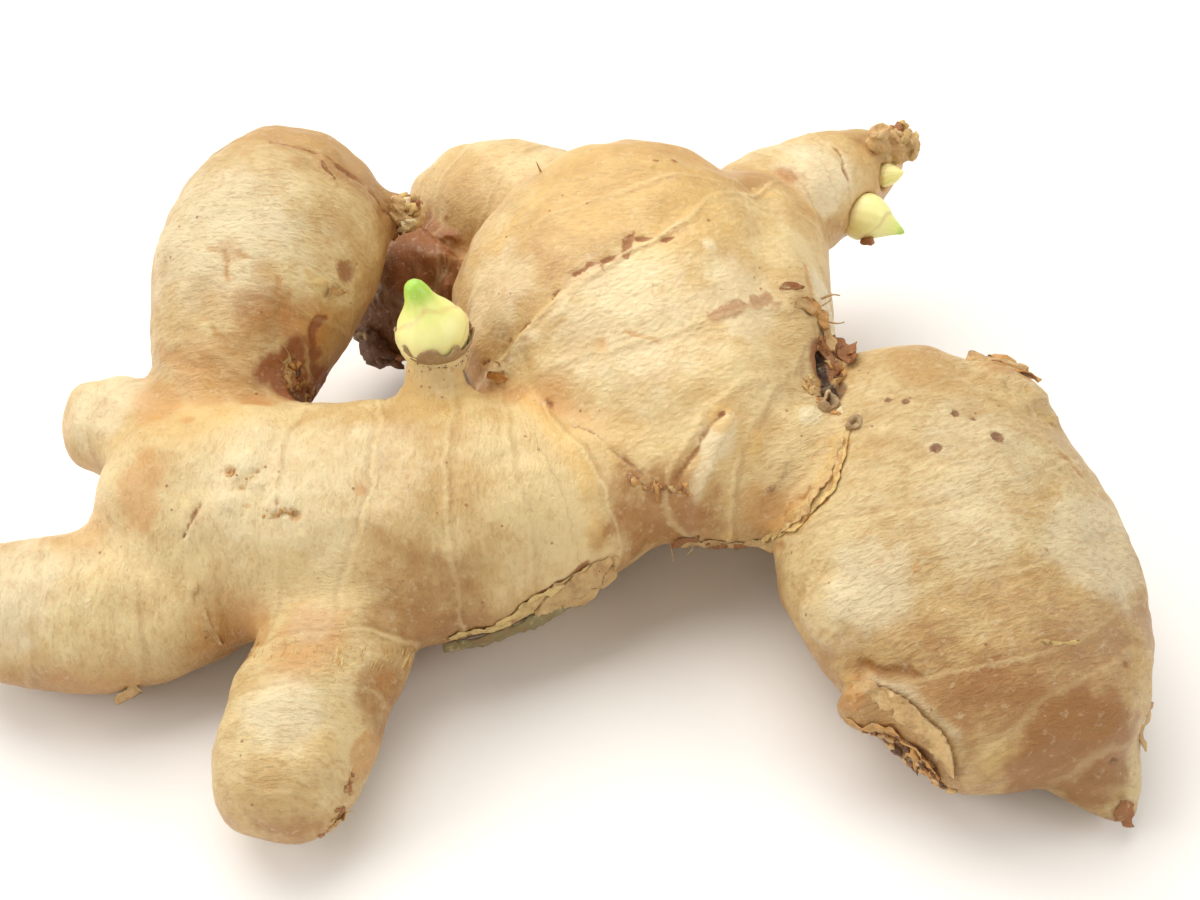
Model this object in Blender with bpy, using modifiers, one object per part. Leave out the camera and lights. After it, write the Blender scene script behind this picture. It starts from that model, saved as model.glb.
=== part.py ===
"""Ginger rhizome with three shoot buds, lying on its underside.

Metres, +Z up, +X along the longest side. The origin is the middle of the underside of the
whole object's box. The rhizome grew as one body, so it is one solid: each of its lobes is a
sphere stretched along a bent spine, and a remesh joins them all into one skin. Where the
lowest lobes rest, the skin is pressed flat. Each shoot bud is a solid of its own, seated in
a shallow socket that is the bud's own shape, a little larger.
"""

import bmesh
import bpy
import numpy as np
from mathutils import Vector

MM = 0.001

# ---- driving dimensions, in millimetres ----
SKIN_VOXEL = 1.6  # grid on which the lobes are joined
SKIN_SMOOTHING = 4  # passes that round the creases between lobes
SKIN_TRIANGLES = 9000  # what the joined skin is reduced to
SOCKET_GAP = 0.35  # clearance all round a shoot bud in its socket
LOBE_SEGMENTS = 28  # faces around a lobe
LOBE_RINGS = 26  # faces along a lobe
BUD_SEGMENTS = 20
BUD_RINGS = 14
SPINE_STEP = 0.02  # share of a spine over which its direction is measured
STEEP = 0.8  # a spine that climbs more than this is turned about Y instead of Z

# ---- colours: red, green, blue, in linear light ----
SKIN_COLOUR = (0.62, 0.40, 0.19, 1.0)
BUD_COLOUR = (0.70, 0.76, 0.28, 1.0)
SKIN_ROUGHNESS = 0.55
BUD_ROUGHNESS = 0.35

# A station is a spine's centre x, y, z, then half the width and half the height there.
# "blunt" is 2 for an egg-shaped end, and more for a squarer one.
LOBES = {
    "front_body": {
        "blunt": 3.4,
        "spine": [
            (-76, -5, 20, 14, 15),
            (-64, -7, 19, 18, 18),
            (-46, -8, 18, 19, 18.6),
            (-24, -7, 18, 20, 18.8),
            (-6, -4, 19, 16.5, 16.5),
            (10, 1, 22, 13, 13),
        ],
    },
    "neck": {
        "blunt": 3.0,
        "spine": [
            (-10, -3, 21, 13, 13),
            (6, 0, 22, 13, 13),
            (22, 1, 23, 13, 13),
            (40, 0, 23, 13, 13),
        ],
    },
    "front_finger": {
        "blunt": 3.4,
        "spine": [
            (-35, -14, 15, 13, 11.5),
            (-38, -26, 13, 11.5, 11),
            (-41, -38, 12, 11, 10.5),
            (-43, -50, 11, 11, 10),
            (-44, -58, 10, 9, 8.5),
        ],
    },
    "left_finger": {
        "blunt": 3.4,
        "spine": [
            (-54, -15, 16, 12, 12),
            (-67, -20.5, 14, 12.5, 12),
            (-82, -22, 13, 12, 12),
            (-98, -21, 13, 10, 11),
        ],
    },
    "left_knob": {
        "blunt": 3.0,
        "spine": [
            (-60, -3, 23, 9, 9),
            (-72, 4, 24, 8.5, 8.5),
            (-85, 9, 24, 8, 8),
        ],
    },
    "left_rear": {
        "blunt": 2.8,
        "spine": [
            (-61, 2, 21, 11, 14),
            (-59, 16, 29, 14.5, 15),
            (-56, 29, 37, 18, 17),
            (-53, 41, 42, 19, 17),
            (-49, 54, 46.5, 16, 14),
        ],
    },
    "left_rear_stem_scar": {
        "blunt": 3.0,
        "spine": [
            (-42, 44, 39, 4, 4),
            (-37, 44.5, 40, 3.6, 3.6),
            (-32, 45, 40, 3.8, 3.8),
        ],
    },
    "shadow_lobe": {
        "blunt": 2.6,
        "spine": [
            (-12, 48, 16, 11, 12),
            (-24, 50, 16, 11, 12),
            (-35, 50, 15, 11, 12),
            (-46, 47, 12, 8, 9),
        ],
    },
    "rear_mid": {
        "blunt": 2.8,
        "spine": [
            (2, 54, 28, 15, 15),
            (-12, 60, 28, 15, 15),
            (-23, 65, 27, 13, 14),
            (-35, 72, 24, 10, 11),
        ],
    },
    "central": {
        "blunt": 3.0,
        "spine": [
            (22, -9, 20, 10, 12),
            (18, 3, 24, 18, 18),
            (12, 15, 25, 26, 23),
            (6, 29, 26.5, 31, 27.8),
            (4, 45, 27.8, 30, 27.8),
            (3, 62, 27, 19, 19.5),
        ],
    },
    "central_right": {
        "blunt": 2.8,
        "spine": [
            (29, 4, 24, 10, 14),
            (27, 18, 26, 13, 18),
            (25, 33, 27, 15, 20),
            (24, 48, 28, 16, 19),
            (21, 61, 27, 12, 14),
        ],
    },
    "right_lobe": {
        "blunt": 4.0,
        "spine": [
            (45, 19, 22, 18, 15),
            (48, 6, 21, 22, 17.5),
            (51.5, -8, 19, 26, 19),
            (54, -22, 17.5, 26, 18.3),
            (57, -36, 15, 23, 15.6),
            (60, -50, 11, 18, 11),
        ],
    },
    "right_corner": {
        "blunt": 2.2,
        "spine": [
            (56, -22, 16, 14, 14),
            (64, -36, 11, 12, 11),
            (70, -46, 6, 7, 6),
            (74, -51.5, 3, 2.5, 3),
        ],
    },
    "rear_right": {
        "blunt": 3.0,
        "spine": [
            (20, 54, 30, 12, 12),
            (34, 61, 31, 12, 12),
            (47, 70, 32, 9.5, 9.5),
            (57, 77, 33, 6, 6),
        ],
    },
    "front_bud_stalk": {
        "blunt": 4.0,
        "spine": [
            (-25, 4, 27, 5, 5),
            (-25.5, 6, 34, 4.3, 4.3),
            (-26, 8.5, 39, 4.6, 4.6),
        ],
    },
}

SHOOT_BUDS = {
    "shoot_bud_front": {
        "blunt": 2.4,
        "spine": [
            (-26, 8.6, 37.4, 3.6, 3.6),
            (-26, 8.8, 40.5, 5.4, 5.4),
            (-26.2, 9, 43.5, 4.9, 4.9),
            (-26.7, 9.1, 46.7, 2.4, 2.4),
            (-27.2, 9, 49.2, 1.7, 1.7),
            (-27.6, 8.8, 51.5, 1.3, 1.3),
        ],
    },
    "shoot_bud_rear": {
        "blunt": 2.3,
        "spine": [
            (44.5, 58.5, 31.5, 3.2, 3.2),
            (48, 58.3, 30.4, 4.2, 4.2),
            (51.2, 58, 29.2, 3.6, 3.6),
            (54.2, 57.6, 28, 1.6, 1.6),
            (56.4, 57.2, 27.2, 0.9, 0.9),
        ],
    },
    "shoot_bud_small": {
        "blunt": 2.2,
        "spine": [
            (51.4, 67.2, 33.6, 1.5, 1.5),
            (53, 66.2, 34.4, 2.1, 2.1),
            (54.6, 65.2, 35.2, 1.7, 1.7),
            (56, 64.3, 36, 0.8, 0.8),
        ],
    },
}


def clear_scene():
    for thing in list(bpy.data.objects):
        bpy.data.objects.remove(thing)


def make_collection(name):
    group = bpy.data.collections.new(name)
    bpy.context.scene.collection.children.link(group)
    return group


def make_material(name, colour, roughness):
    material = bpy.data.materials.new(name)
    material.use_nodes = True
    shader = material.node_tree.nodes["Principled BSDF"]
    shader.inputs["Base Color"].default_value = colour
    shader.inputs["Roughness"].default_value = roughness
    shader.inputs["Metallic"].default_value = 0.0
    material.diffuse_color = colour
    return material


def spline_at(rows, share):
    """The station this share of the way along the rows, on a Catmull-Rom curve."""
    place = share * (len(rows) - 1)
    first = min(int(place), len(rows) - 2)
    t = place - first
    before = rows[max(first - 1, 0)]
    start = rows[first]
    end = rows[first + 1]
    after = rows[min(first + 2, len(rows) - 1)]
    return 0.5 * (
        2 * start
        + (end - before) * t
        + (2 * before - 5 * start + 4 * end - after) * t**2
        + (3 * start - 3 * end + after - before) * t**3
    )


def spine_axes(rows, share, reference):
    """Unit vectors along the spine, to its side and upwards from it."""
    ahead = spline_at(rows, min(share + SPINE_STEP, 1.0))
    behind = spline_at(rows, max(share - SPINE_STEP, 0.0))
    along = Vector(ahead[:3] - behind[:3]).normalized()
    side = reference.cross(along).normalized()
    return along, side, along.cross(side)


def add_lobe(mesh, lobe, segments, rings, margin=0.0):
    """Adds a sphere stretched along the lobe's spine, larger all round by the margin."""
    rows = np.array(lobe["spine"], float)
    blunt = lobe["blunt"]
    overall = Vector(rows[-1, :3] - rows[0, :3]).normalized()
    reference = Vector((0, 1, 0)) if abs(overall.z) > STEEP else Vector((0, 0, 1))
    made = bmesh.ops.create_uvsphere(mesh, u_segments=segments, v_segments=rings, radius=1.0)
    for vert in made["verts"]:
        height = min(max(vert.co.z, -1.0), 1.0)
        share = (1 + height) / 2
        station = spline_at(rows, share)
        along, side, up = spine_axes(rows, share, reference)
        rim = (1 - abs(height) ** blunt) ** (1 / blunt)
        turn = Vector((vert.co.x, vert.co.y)).normalized()
        centre = Vector(station[:3]) + along * margin * height
        across = side * turn.x * (station[3] + margin) * rim
        rise = up * turn.y * (station[4] + margin) * rim
        vert.co = (centre + across + rise) * MM


def mesh_object(name, mesh, group):
    data = bpy.data.meshes.new(name)
    mesh.to_mesh(data)
    mesh.free()
    made = bpy.data.objects.new(name, data)
    group.objects.link(made)
    return made


def apply_modifiers(source, name, group):
    """A plain object with the source's mesh as its modifiers leave it. The source goes."""
    graph = bpy.context.evaluated_depsgraph_get()
    data = bpy.data.meshes.new_from_object(source.evaluated_get(graph))
    data.name = name
    made = bpy.data.objects.new(name, data)
    group.objects.link(made)
    bpy.data.objects.remove(source)
    return made


def join_lobes(group):
    """All lobes in one closed skin, smoothed, then reduced."""
    mesh = bmesh.new()
    for lobe in LOBES.values():
        add_lobe(mesh, lobe, LOBE_SEGMENTS, LOBE_RINGS)
    lobes = mesh_object("lobes", mesh, group)
    remesh = lobes.modifiers.new("join", "REMESH")
    remesh.mode = "VOXEL"
    remesh.voxel_size = SKIN_VOXEL * MM
    smooth = lobes.modifiers.new("round", "SMOOTH")
    smooth.iterations = SKIN_SMOOTHING
    joined = apply_modifiers(lobes, "joined", group)
    joined.data.calc_loop_triangles()
    reduce = joined.modifiers.new("reduce", "DECIMATE")
    reduce.ratio = SKIN_TRIANGLES / len(joined.data.loop_triangles)
    return apply_modifiers(joined, "rhizome", group)


def press_flat(rhizome):
    """Cuts away what lies below z = 0 and closes each cut with a flat face."""
    mesh = bmesh.new()
    mesh.from_mesh(rhizome.data)
    parts = mesh.verts[:] + mesh.edges[:] + mesh.faces[:]
    bmesh.ops.bisect_plane(mesh, geom=parts, plane_co=(0, 0, 0), plane_no=(0, 0, -1), clear_outer=True)
    rim = [edge for edge in mesh.edges if edge.is_boundary]
    bmesh.ops.holes_fill(mesh, edges=rim, sides=0)
    bmesh.ops.triangulate(mesh, faces=mesh.faces)
    mesh.to_mesh(rhizome.data)
    mesh.free()


def seat_buds(rhizome, parts, cutters):
    """One object for each shoot bud, and its socket in the rhizome."""
    for name, bud in SHOOT_BUDS.items():
        mesh = bmesh.new()
        add_lobe(mesh, bud, BUD_SEGMENTS, BUD_RINGS)
        mesh_object(name, mesh, parts)
        mesh = bmesh.new()
        add_lobe(mesh, bud, BUD_SEGMENTS, BUD_RINGS, SOCKET_GAP)
        cutter = mesh_object(name + "_socket", mesh, cutters)
        cutter.hide_render = True
        cutter.display_type = "WIRE"
        socket = rhizome.modifiers.new(name + "_socket", "BOOLEAN")
        socket.operation = "DIFFERENCE"
        socket.solver = "EXACT"
        socket.object = cutter


def centre_on_origin(parts, cutters):
    """Moves everything so that the box of the parts stands centred on the origin."""
    graph = bpy.context.evaluated_depsgraph_get()
    corners = [Vector(corner) for part in parts.objects for corner in part.evaluated_get(graph).bound_box]
    low = Vector(map(min, zip(*corners)))
    high = Vector(map(max, zip(*corners)))
    shift = Vector((-(low.x + high.x) / 2, -(low.y + high.y) / 2, -low.z))
    for thing in parts.objects[:] + cutters.objects[:]:
        for vert in thing.data.vertices:
            vert.co += shift
    return shift


def finish(parts):
    skin = make_material("ginger_skin", SKIN_COLOUR, SKIN_ROUGHNESS)
    bud = make_material("young_shoot", BUD_COLOUR, BUD_ROUGHNESS)
    for part in parts.objects:
        part.data.materials.append(skin if part.name == "rhizome" else bud)
        part.data.shade_smooth()


def main():
    clear_scene()
    parts = make_collection("ginger_root")
    cutters = make_collection("ginger_root_cutters")
    rhizome = join_lobes(parts)
    press_flat(rhizome)
    seat_buds(rhizome, parts, cutters)
    shift = centre_on_origin(parts, cutters)
    finish(parts)
    return shift


if __name__ == "__main__":
    main()
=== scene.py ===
import itertools
import math
import random

import bmesh
import bpy
import numpy as np
from mathutils import Matrix, Vector
from mathutils.bvhtree import BVHTree


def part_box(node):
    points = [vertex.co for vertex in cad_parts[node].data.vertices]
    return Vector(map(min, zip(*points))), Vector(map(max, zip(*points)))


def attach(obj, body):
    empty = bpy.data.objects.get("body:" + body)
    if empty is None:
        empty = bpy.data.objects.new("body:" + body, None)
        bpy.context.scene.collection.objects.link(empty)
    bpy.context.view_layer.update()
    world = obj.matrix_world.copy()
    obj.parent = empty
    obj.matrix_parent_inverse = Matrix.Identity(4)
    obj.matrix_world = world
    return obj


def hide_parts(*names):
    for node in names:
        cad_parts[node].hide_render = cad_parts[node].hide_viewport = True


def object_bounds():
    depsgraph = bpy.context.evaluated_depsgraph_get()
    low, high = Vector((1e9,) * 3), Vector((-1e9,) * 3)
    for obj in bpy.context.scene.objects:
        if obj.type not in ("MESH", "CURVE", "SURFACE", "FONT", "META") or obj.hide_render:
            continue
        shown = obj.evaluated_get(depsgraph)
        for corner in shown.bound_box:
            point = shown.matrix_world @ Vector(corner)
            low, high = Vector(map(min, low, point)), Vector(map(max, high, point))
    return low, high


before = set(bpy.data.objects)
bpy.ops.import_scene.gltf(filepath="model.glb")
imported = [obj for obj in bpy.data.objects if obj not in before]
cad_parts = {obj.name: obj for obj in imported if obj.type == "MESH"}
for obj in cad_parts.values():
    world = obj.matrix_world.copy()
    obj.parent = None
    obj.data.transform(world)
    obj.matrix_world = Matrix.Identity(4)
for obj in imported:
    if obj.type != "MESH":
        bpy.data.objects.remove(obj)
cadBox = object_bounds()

mm = 0.001
low, high = cadBox
# every place below is in mm from here: the middle of the CAD box, on the floor
middle = Vector(((low.x + high.x) / 2, (low.y + high.y) / 2, low.z))
middleMm = np.array(middle) / mm
print("frame loaded:", ", ".join(sorted(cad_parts)))

# camera, floor and soft lights
studio = {
    "aim": (9, -11, 26),  # mm, a little right of the middle and low on the pile of lobes
    "elevation": 43,
    "distance": 207,
    "lens": 40,
    "nearest": 0.01,
    "floorSize": 3.0,
    "floorTone": (0.93, 0.92, 0.90, 1),
    "floorRoughness": 0.9,
    "skyTone": (1.0, 0.98, 0.95, 1),
    "skyStrength": 0.33,
    # place in metres, width, power and colour of each lamp
    "lamps": {
        "overhead": ((-0.14, 0.27, 0.61), 0.70, 5.1, (1.0, 0.97, 0.92)),
        "rightEdge": ((0.75, -0.15, 0.42), 0.50, 2.3, (1.0, 0.98, 0.94)),
        "frontFill": ((-0.10, -0.75, 0.48), 0.60, 0.9, (1.0, 0.93, 0.84)),
        "leftEdge": ((-0.70, -0.15, 0.45), 0.50, 2.7, (1.0, 0.98, 0.95)),
    },
}


def lookAt(thing, target):
    thing.rotation_euler = (Vector(target) - thing.location).to_track_quat("-Z", "Y").to_euler()


def makeStudio():
    scene = bpy.context.scene
    scene.view_settings.view_transform = "Standard"
    aim = middle + Vector(studio["aim"]) * mm
    tilt = math.radians(studio["elevation"])
    camera = bpy.data.objects.new("camera", bpy.data.cameras.new("camera"))
    camera.data.lens = studio["lens"]
    camera.data.clip_start = studio["nearest"]
    camera.location = aim + Vector((0, -math.cos(tilt), math.sin(tilt))) * studio["distance"] * mm
    scene.collection.objects.link(camera)
    lookAt(camera, aim)
    scene.camera = camera

    mesh = bmesh.new()
    bmesh.ops.create_grid(mesh, x_segments=1, y_segments=1, size=studio["floorSize"] / 2)
    floor = newPiece("floor", mesh)
    floor.data.materials.append(floorMaterial())

    for name, (place, width, power, tone) in studio["lamps"].items():
        lamp = bpy.data.lights.new(name, "AREA")
        lamp.size = width
        lamp.energy = power
        lamp.color = tone
        holder = bpy.data.objects.new(name, lamp)
        holder.location = place
        scene.collection.objects.link(holder)
        lookAt(holder, aim)

    world = bpy.data.worlds.new("softSky")
    world.use_nodes = True
    background = world.node_tree.nodes["Background"]
    background.inputs["Color"].default_value = studio["skyTone"]
    background.inputs["Strength"].default_value = studio["skyStrength"]
    scene.world = world
    print("studio ready")


def newPiece(name, mesh):
    data = bpy.data.meshes.new(name)
    mesh.to_mesh(data)
    mesh.free()
    return placePiece(name, data)


def placePiece(name, data):
    piece = bpy.data.objects.new(name, data)
    bpy.context.scene.collection.objects.link(piece)
    return piece


# small helpers for shader nodes: an input is either a value or another node's output
def addNode(tree, kind, inputs=None, **settings):
    node = tree.nodes.new("ShaderNode" + kind)
    for key, value in settings.items():
        setattr(node, key, value)
    for key, value in (inputs or {}).items():
        if isinstance(value, bpy.types.NodeSocket):
            tree.links.new(value, node.inputs[key])
        else:
            node.inputs[key].default_value = value
    return node


def doMath(tree, operation, first, second=0.0, clamp=False):
    return addNode(tree, "Math", {0: first, 1: second}, operation=operation, use_clamp=clamp).outputs[0]


def addUp(tree, first, second, clamp=False):
    return doMath(tree, "ADD", first, second, clamp)


def times(tree, first, second, clamp=False):
    return doMath(tree, "MULTIPLY", first, second, clamp)


def centred(tree, value):
    return doMath(tree, "SUBTRACT", value, 0.5)


def moveBy(tree, operation, first, second):
    return addNode(tree, "VectorMath", {0: first, 1: second}, operation=operation)


def scaled(tree, vector, share):
    return addNode(tree, "VectorMath", {0: vector, "Scale": share}, operation="SCALE").outputs[0]


def remap(tree, value, start, end, toStart=0.0, toEnd=1.0):
    limits = {"Value": value, "From Min": start, "From Max": end, "To Min": toStart, "To Max": toEnd}
    return addNode(tree, "MapRange", limits, interpolation_type="SMOOTHSTEP").outputs[0]


def mixTones(tree, share, first, second):
    return addNode(tree, "Mix", {0: share, 6: first, 7: second}, data_type="RGBA").outputs[2]


def toneRamp(tree, value, stops):
    node = addNode(tree, "ValToRGB", {0: value})
    ramp = node.color_ramp
    ramp.elements[0].position, ramp.elements[0].color = stops[0]
    ramp.elements[1].position, ramp.elements[1].color = stops[-1]
    for position, colour in stops[1:-1]:
        ramp.elements.new(position).color = colour
    return node.outputs[0]


def noise(tree, where, scale, detail, roughness=0.55):
    settings = {"Vector": where, "Scale": scale, "Detail": detail, "Roughness": roughness}
    return addNode(tree, "TexNoise", settings).outputs[0]


def attribute(tree, name):
    return addNode(tree, "Attribute", attribute_name=name).outputs["Fac"]


def newMaterial(name):
    material = bpy.data.materials.new(name)
    material.use_nodes = True
    tree = material.node_tree
    return material, tree, tree.nodes["Principled BSDF"]


def addBump(tree, shader, height, distance, strength=1.0):
    bump = addNode(tree, "Bump", {"Height": height, "Strength": strength, "Distance": distance})
    tree.links.new(bump.outputs[0], shader.inputs["Normal"])


def setFinish(shader, finish):
    for name, value in finish.items():
        shader.inputs[name].default_value = value


def floorMaterial():
    material, tree, shader = newMaterial("paleFloor")
    setFinish(shader, {"Base Color": studio["floorTone"], "Roughness": studio["floorRoughness"]})
    return material


# repeatable noise for the modelled relief: large odd numbers stir a cell's place into its value
def gridValue(cell, seed):
    mixed = cell[:, 0] * 374761393 + cell[:, 1] * 668265263 + cell[:, 2] * 1103515245 + seed * 974634777
    mixed = mixed & 0xFFFFFFFF
    mixed = ((mixed ^ (mixed >> 13)) * 1274126177) & 0xFFFFFFFF
    return ((mixed ^ (mixed >> 16)) & 0xFFFF) / 0xFFFF


def lumps(points, size, seed):
    # smooth noise from -1 to 1, with lumps about size across
    place = points / size
    cell = np.floor(place).astype(np.int64)
    part = place - cell
    part = part * part * (3 - 2 * part)
    total = np.zeros(len(points))
    for corner in itertools.product((0, 1), repeat=3):
        step = np.array(corner)
        share = np.prod(np.where(step == 1, part, 1 - part), axis=1)
        total += share * gridValue(cell + step, seed)
    return 2 * total - 1


def lumpVectors(points, size, seed):
    return np.stack([lumps(points, size, seed + turn) for turn in range(3)], axis=1)


def smoothStep(value, start, end):
    share = np.clip((value - start) / (end - start), 0, 1)
    return share * share * (3 - 2 * share)


def bell(gap, width):
    return np.exp(-((gap / width) ** 2))


def unit(way):
    return np.array(way) / np.linalg.norm(way)


# Lobes: a point inside, the way it grew, and its half thickness, all in mm.
# They turn the grain of the skin, so that wrinkles run round each lobe.
lobes = {
    "frontBody": ((-30, -17, 18), (-1.0, -0.05, 0.0), 19),
    "neckLeft": ((6, -12, 20), (-1.0, -0.2, 0.0), 15),
    "leftFinger": ((-68, -31, 14), (-1.0, -0.15, 0.0), 12),
    "leftKnob": ((-65, -6, 24), (-0.85, 0.4, 0.0), 9),
    "frontFinger": ((-31, -50, 12), (-0.15, -0.95, -0.2), 12),
    "leftRear": ((-46, 22, 38), (0.2, 0.85, 0.45), 19),
    "centralLobe": ((14, 18, 28), (-0.35, 0.85, 0.4), 30),
    "neckRight": ((30, -12, 22), (-0.5, 0.85, 0.0), 15),
    "rightLobe": ((63, -30, 18), (0.35, -0.85, -0.4), 25),
    "rearRight": ((52, 54, 32), (0.8, 0.55, 0.1), 11),
    "rearMid": ((-10, 50, 28), (-0.8, 0.5, 0.0), 14),
    "shadowLobe": ((-18, 39, 16), (-1.0, 0.0, 0.0), 12),
}

# Ring scars: centre of the ring, the way it faces, its radius, how raised it is,
# and how much paler (+) or browner (-) the skin turns beyond it.
ringScars = {
    "bodyA": ((-37, -15, 17), (-1.0, 0.0, 0.0), 19, 0.8, 0.10),
    "bodyB": ((-29.2, -17, 17), (0.95, 0.0, -0.25), 19, 1.0, -0.16),
    "bodyC": ((-13, -17, 18), (-1.0, -0.1, 0.0), 20, 0.8, 0.0),
    "bodyD": ((-5, -15, 18), (-1.0, -0.2, 0.0), 19, 0.6, 0.0),
    "bodyE": ((2, -12, 18), (-0.85, -0.5, 0.0), 18, 0.8, 0.10),
    "leftRoot": ((-58, -30, 15), (-0.6, -0.75, 0.3), 15, 0.5, 0.15),
    "leftMid": ((-64, -32, 14), (-0.85, -0.5, 0.2), 13, 0.6, 0.0),
    "leftTip": ((-75, -34, 14), (-0.95, -0.2, 0.2), 12, 0.6, 0.0),
    "knobTip": ((-68, -5, 25), (-0.9, 0.3, 0.0), 10, 0.4, 0.10),
    "fingerRoot": ((-30, -40, 12), (0.05, -0.92, -0.4), 13, 0.9, 0.0),
    "fingerMid": ((-32, -51, 11), (0.1, -0.95, -0.25), 12, 0.6, 0.10),
    "fingerTip": ((-33, -59, 11), (-0.2, -0.7, -0.7), 11, 0.4, 0.0),
    "rightStart": ((59, -12, 17), (0.5, -0.85, 0.1), 24, 0.4, 0.0),
    "rightA": ((58, -13, 15), (0.25, -0.72, -0.65), 29, 0.8, 0.0),
    "rightB": ((63, -31, 10), (0.35, -0.85, -0.4), 28, 0.5, -0.17),
    "rightC": ((63, -35, 9), (0.3, -0.68, -0.66), 27, 0.55, -0.20),
    "rightD": ((73, -54, 11), (0.5, -0.87, 0.0), 15, 0.5, 0.05),
    "rightE": ((78, -57, 8), (0.4, -0.9, -0.2), 8, 0.5, 0.0),
    "centralTop": ((16, 18, 22), (-0.25, 0.95, -0.1), 34, 0.5, -0.10),
    "centralCrack": ((10, 21, 26), (-0.6, 0.68, 0.43), 28, 1.0, -0.15),
    "centralMid": ((18, 15, 16), (-0.25, 0.8, 0.54), 34, 0.5, 0.0),
    "neckRing": ((32, -14, 22), (-0.53, 0.83, -0.2), 16, 0.9, 0.10),
    "neckEnd": ((34, -10, 22), (-0.9, 0.45, 0.05), 15, 0.8, 0.0),
    "capRing": ((-41.6, 32.2, 41.4), (0.35, 0.9, 0.25), 18, 0.35, -0.34),
    "rearRoot": ((-51, 0, 25), (0.35, 0.9, 0.2), 15, 0.4, 0.0),
    "rearWaist": ((-46, 14, 33), (0.3, 0.75, 0.6), 18, 0.3, 0.08),
    "rearMidRing": ((-8, 49, 28), (-0.8, 0.55, 0.1), 15, 0.7, 0.0),
    "rearMidTip": ((-17, 54, 27), (-0.8, 0.55, 0.0), 14, 0.6, 0.0),
    "rearRightRoot": ((43, 49, 31), (0.8, 0.55, 0.1), 12, 0.7, 0.0),
    "rearRightMid": ((52, 55, 32), (0.85, 0.45, 0.1), 10, 0.7, -0.15),
    "shadowRing": ((-20, 39, 16), (-1.0, 0.0, 0.0), 12, 0.7, 0.0),
    "shadowTip": ((-28, 38, 15), (-1.0, 0.0, 0.0), 12, 0.6, 0.0),
}

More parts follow.
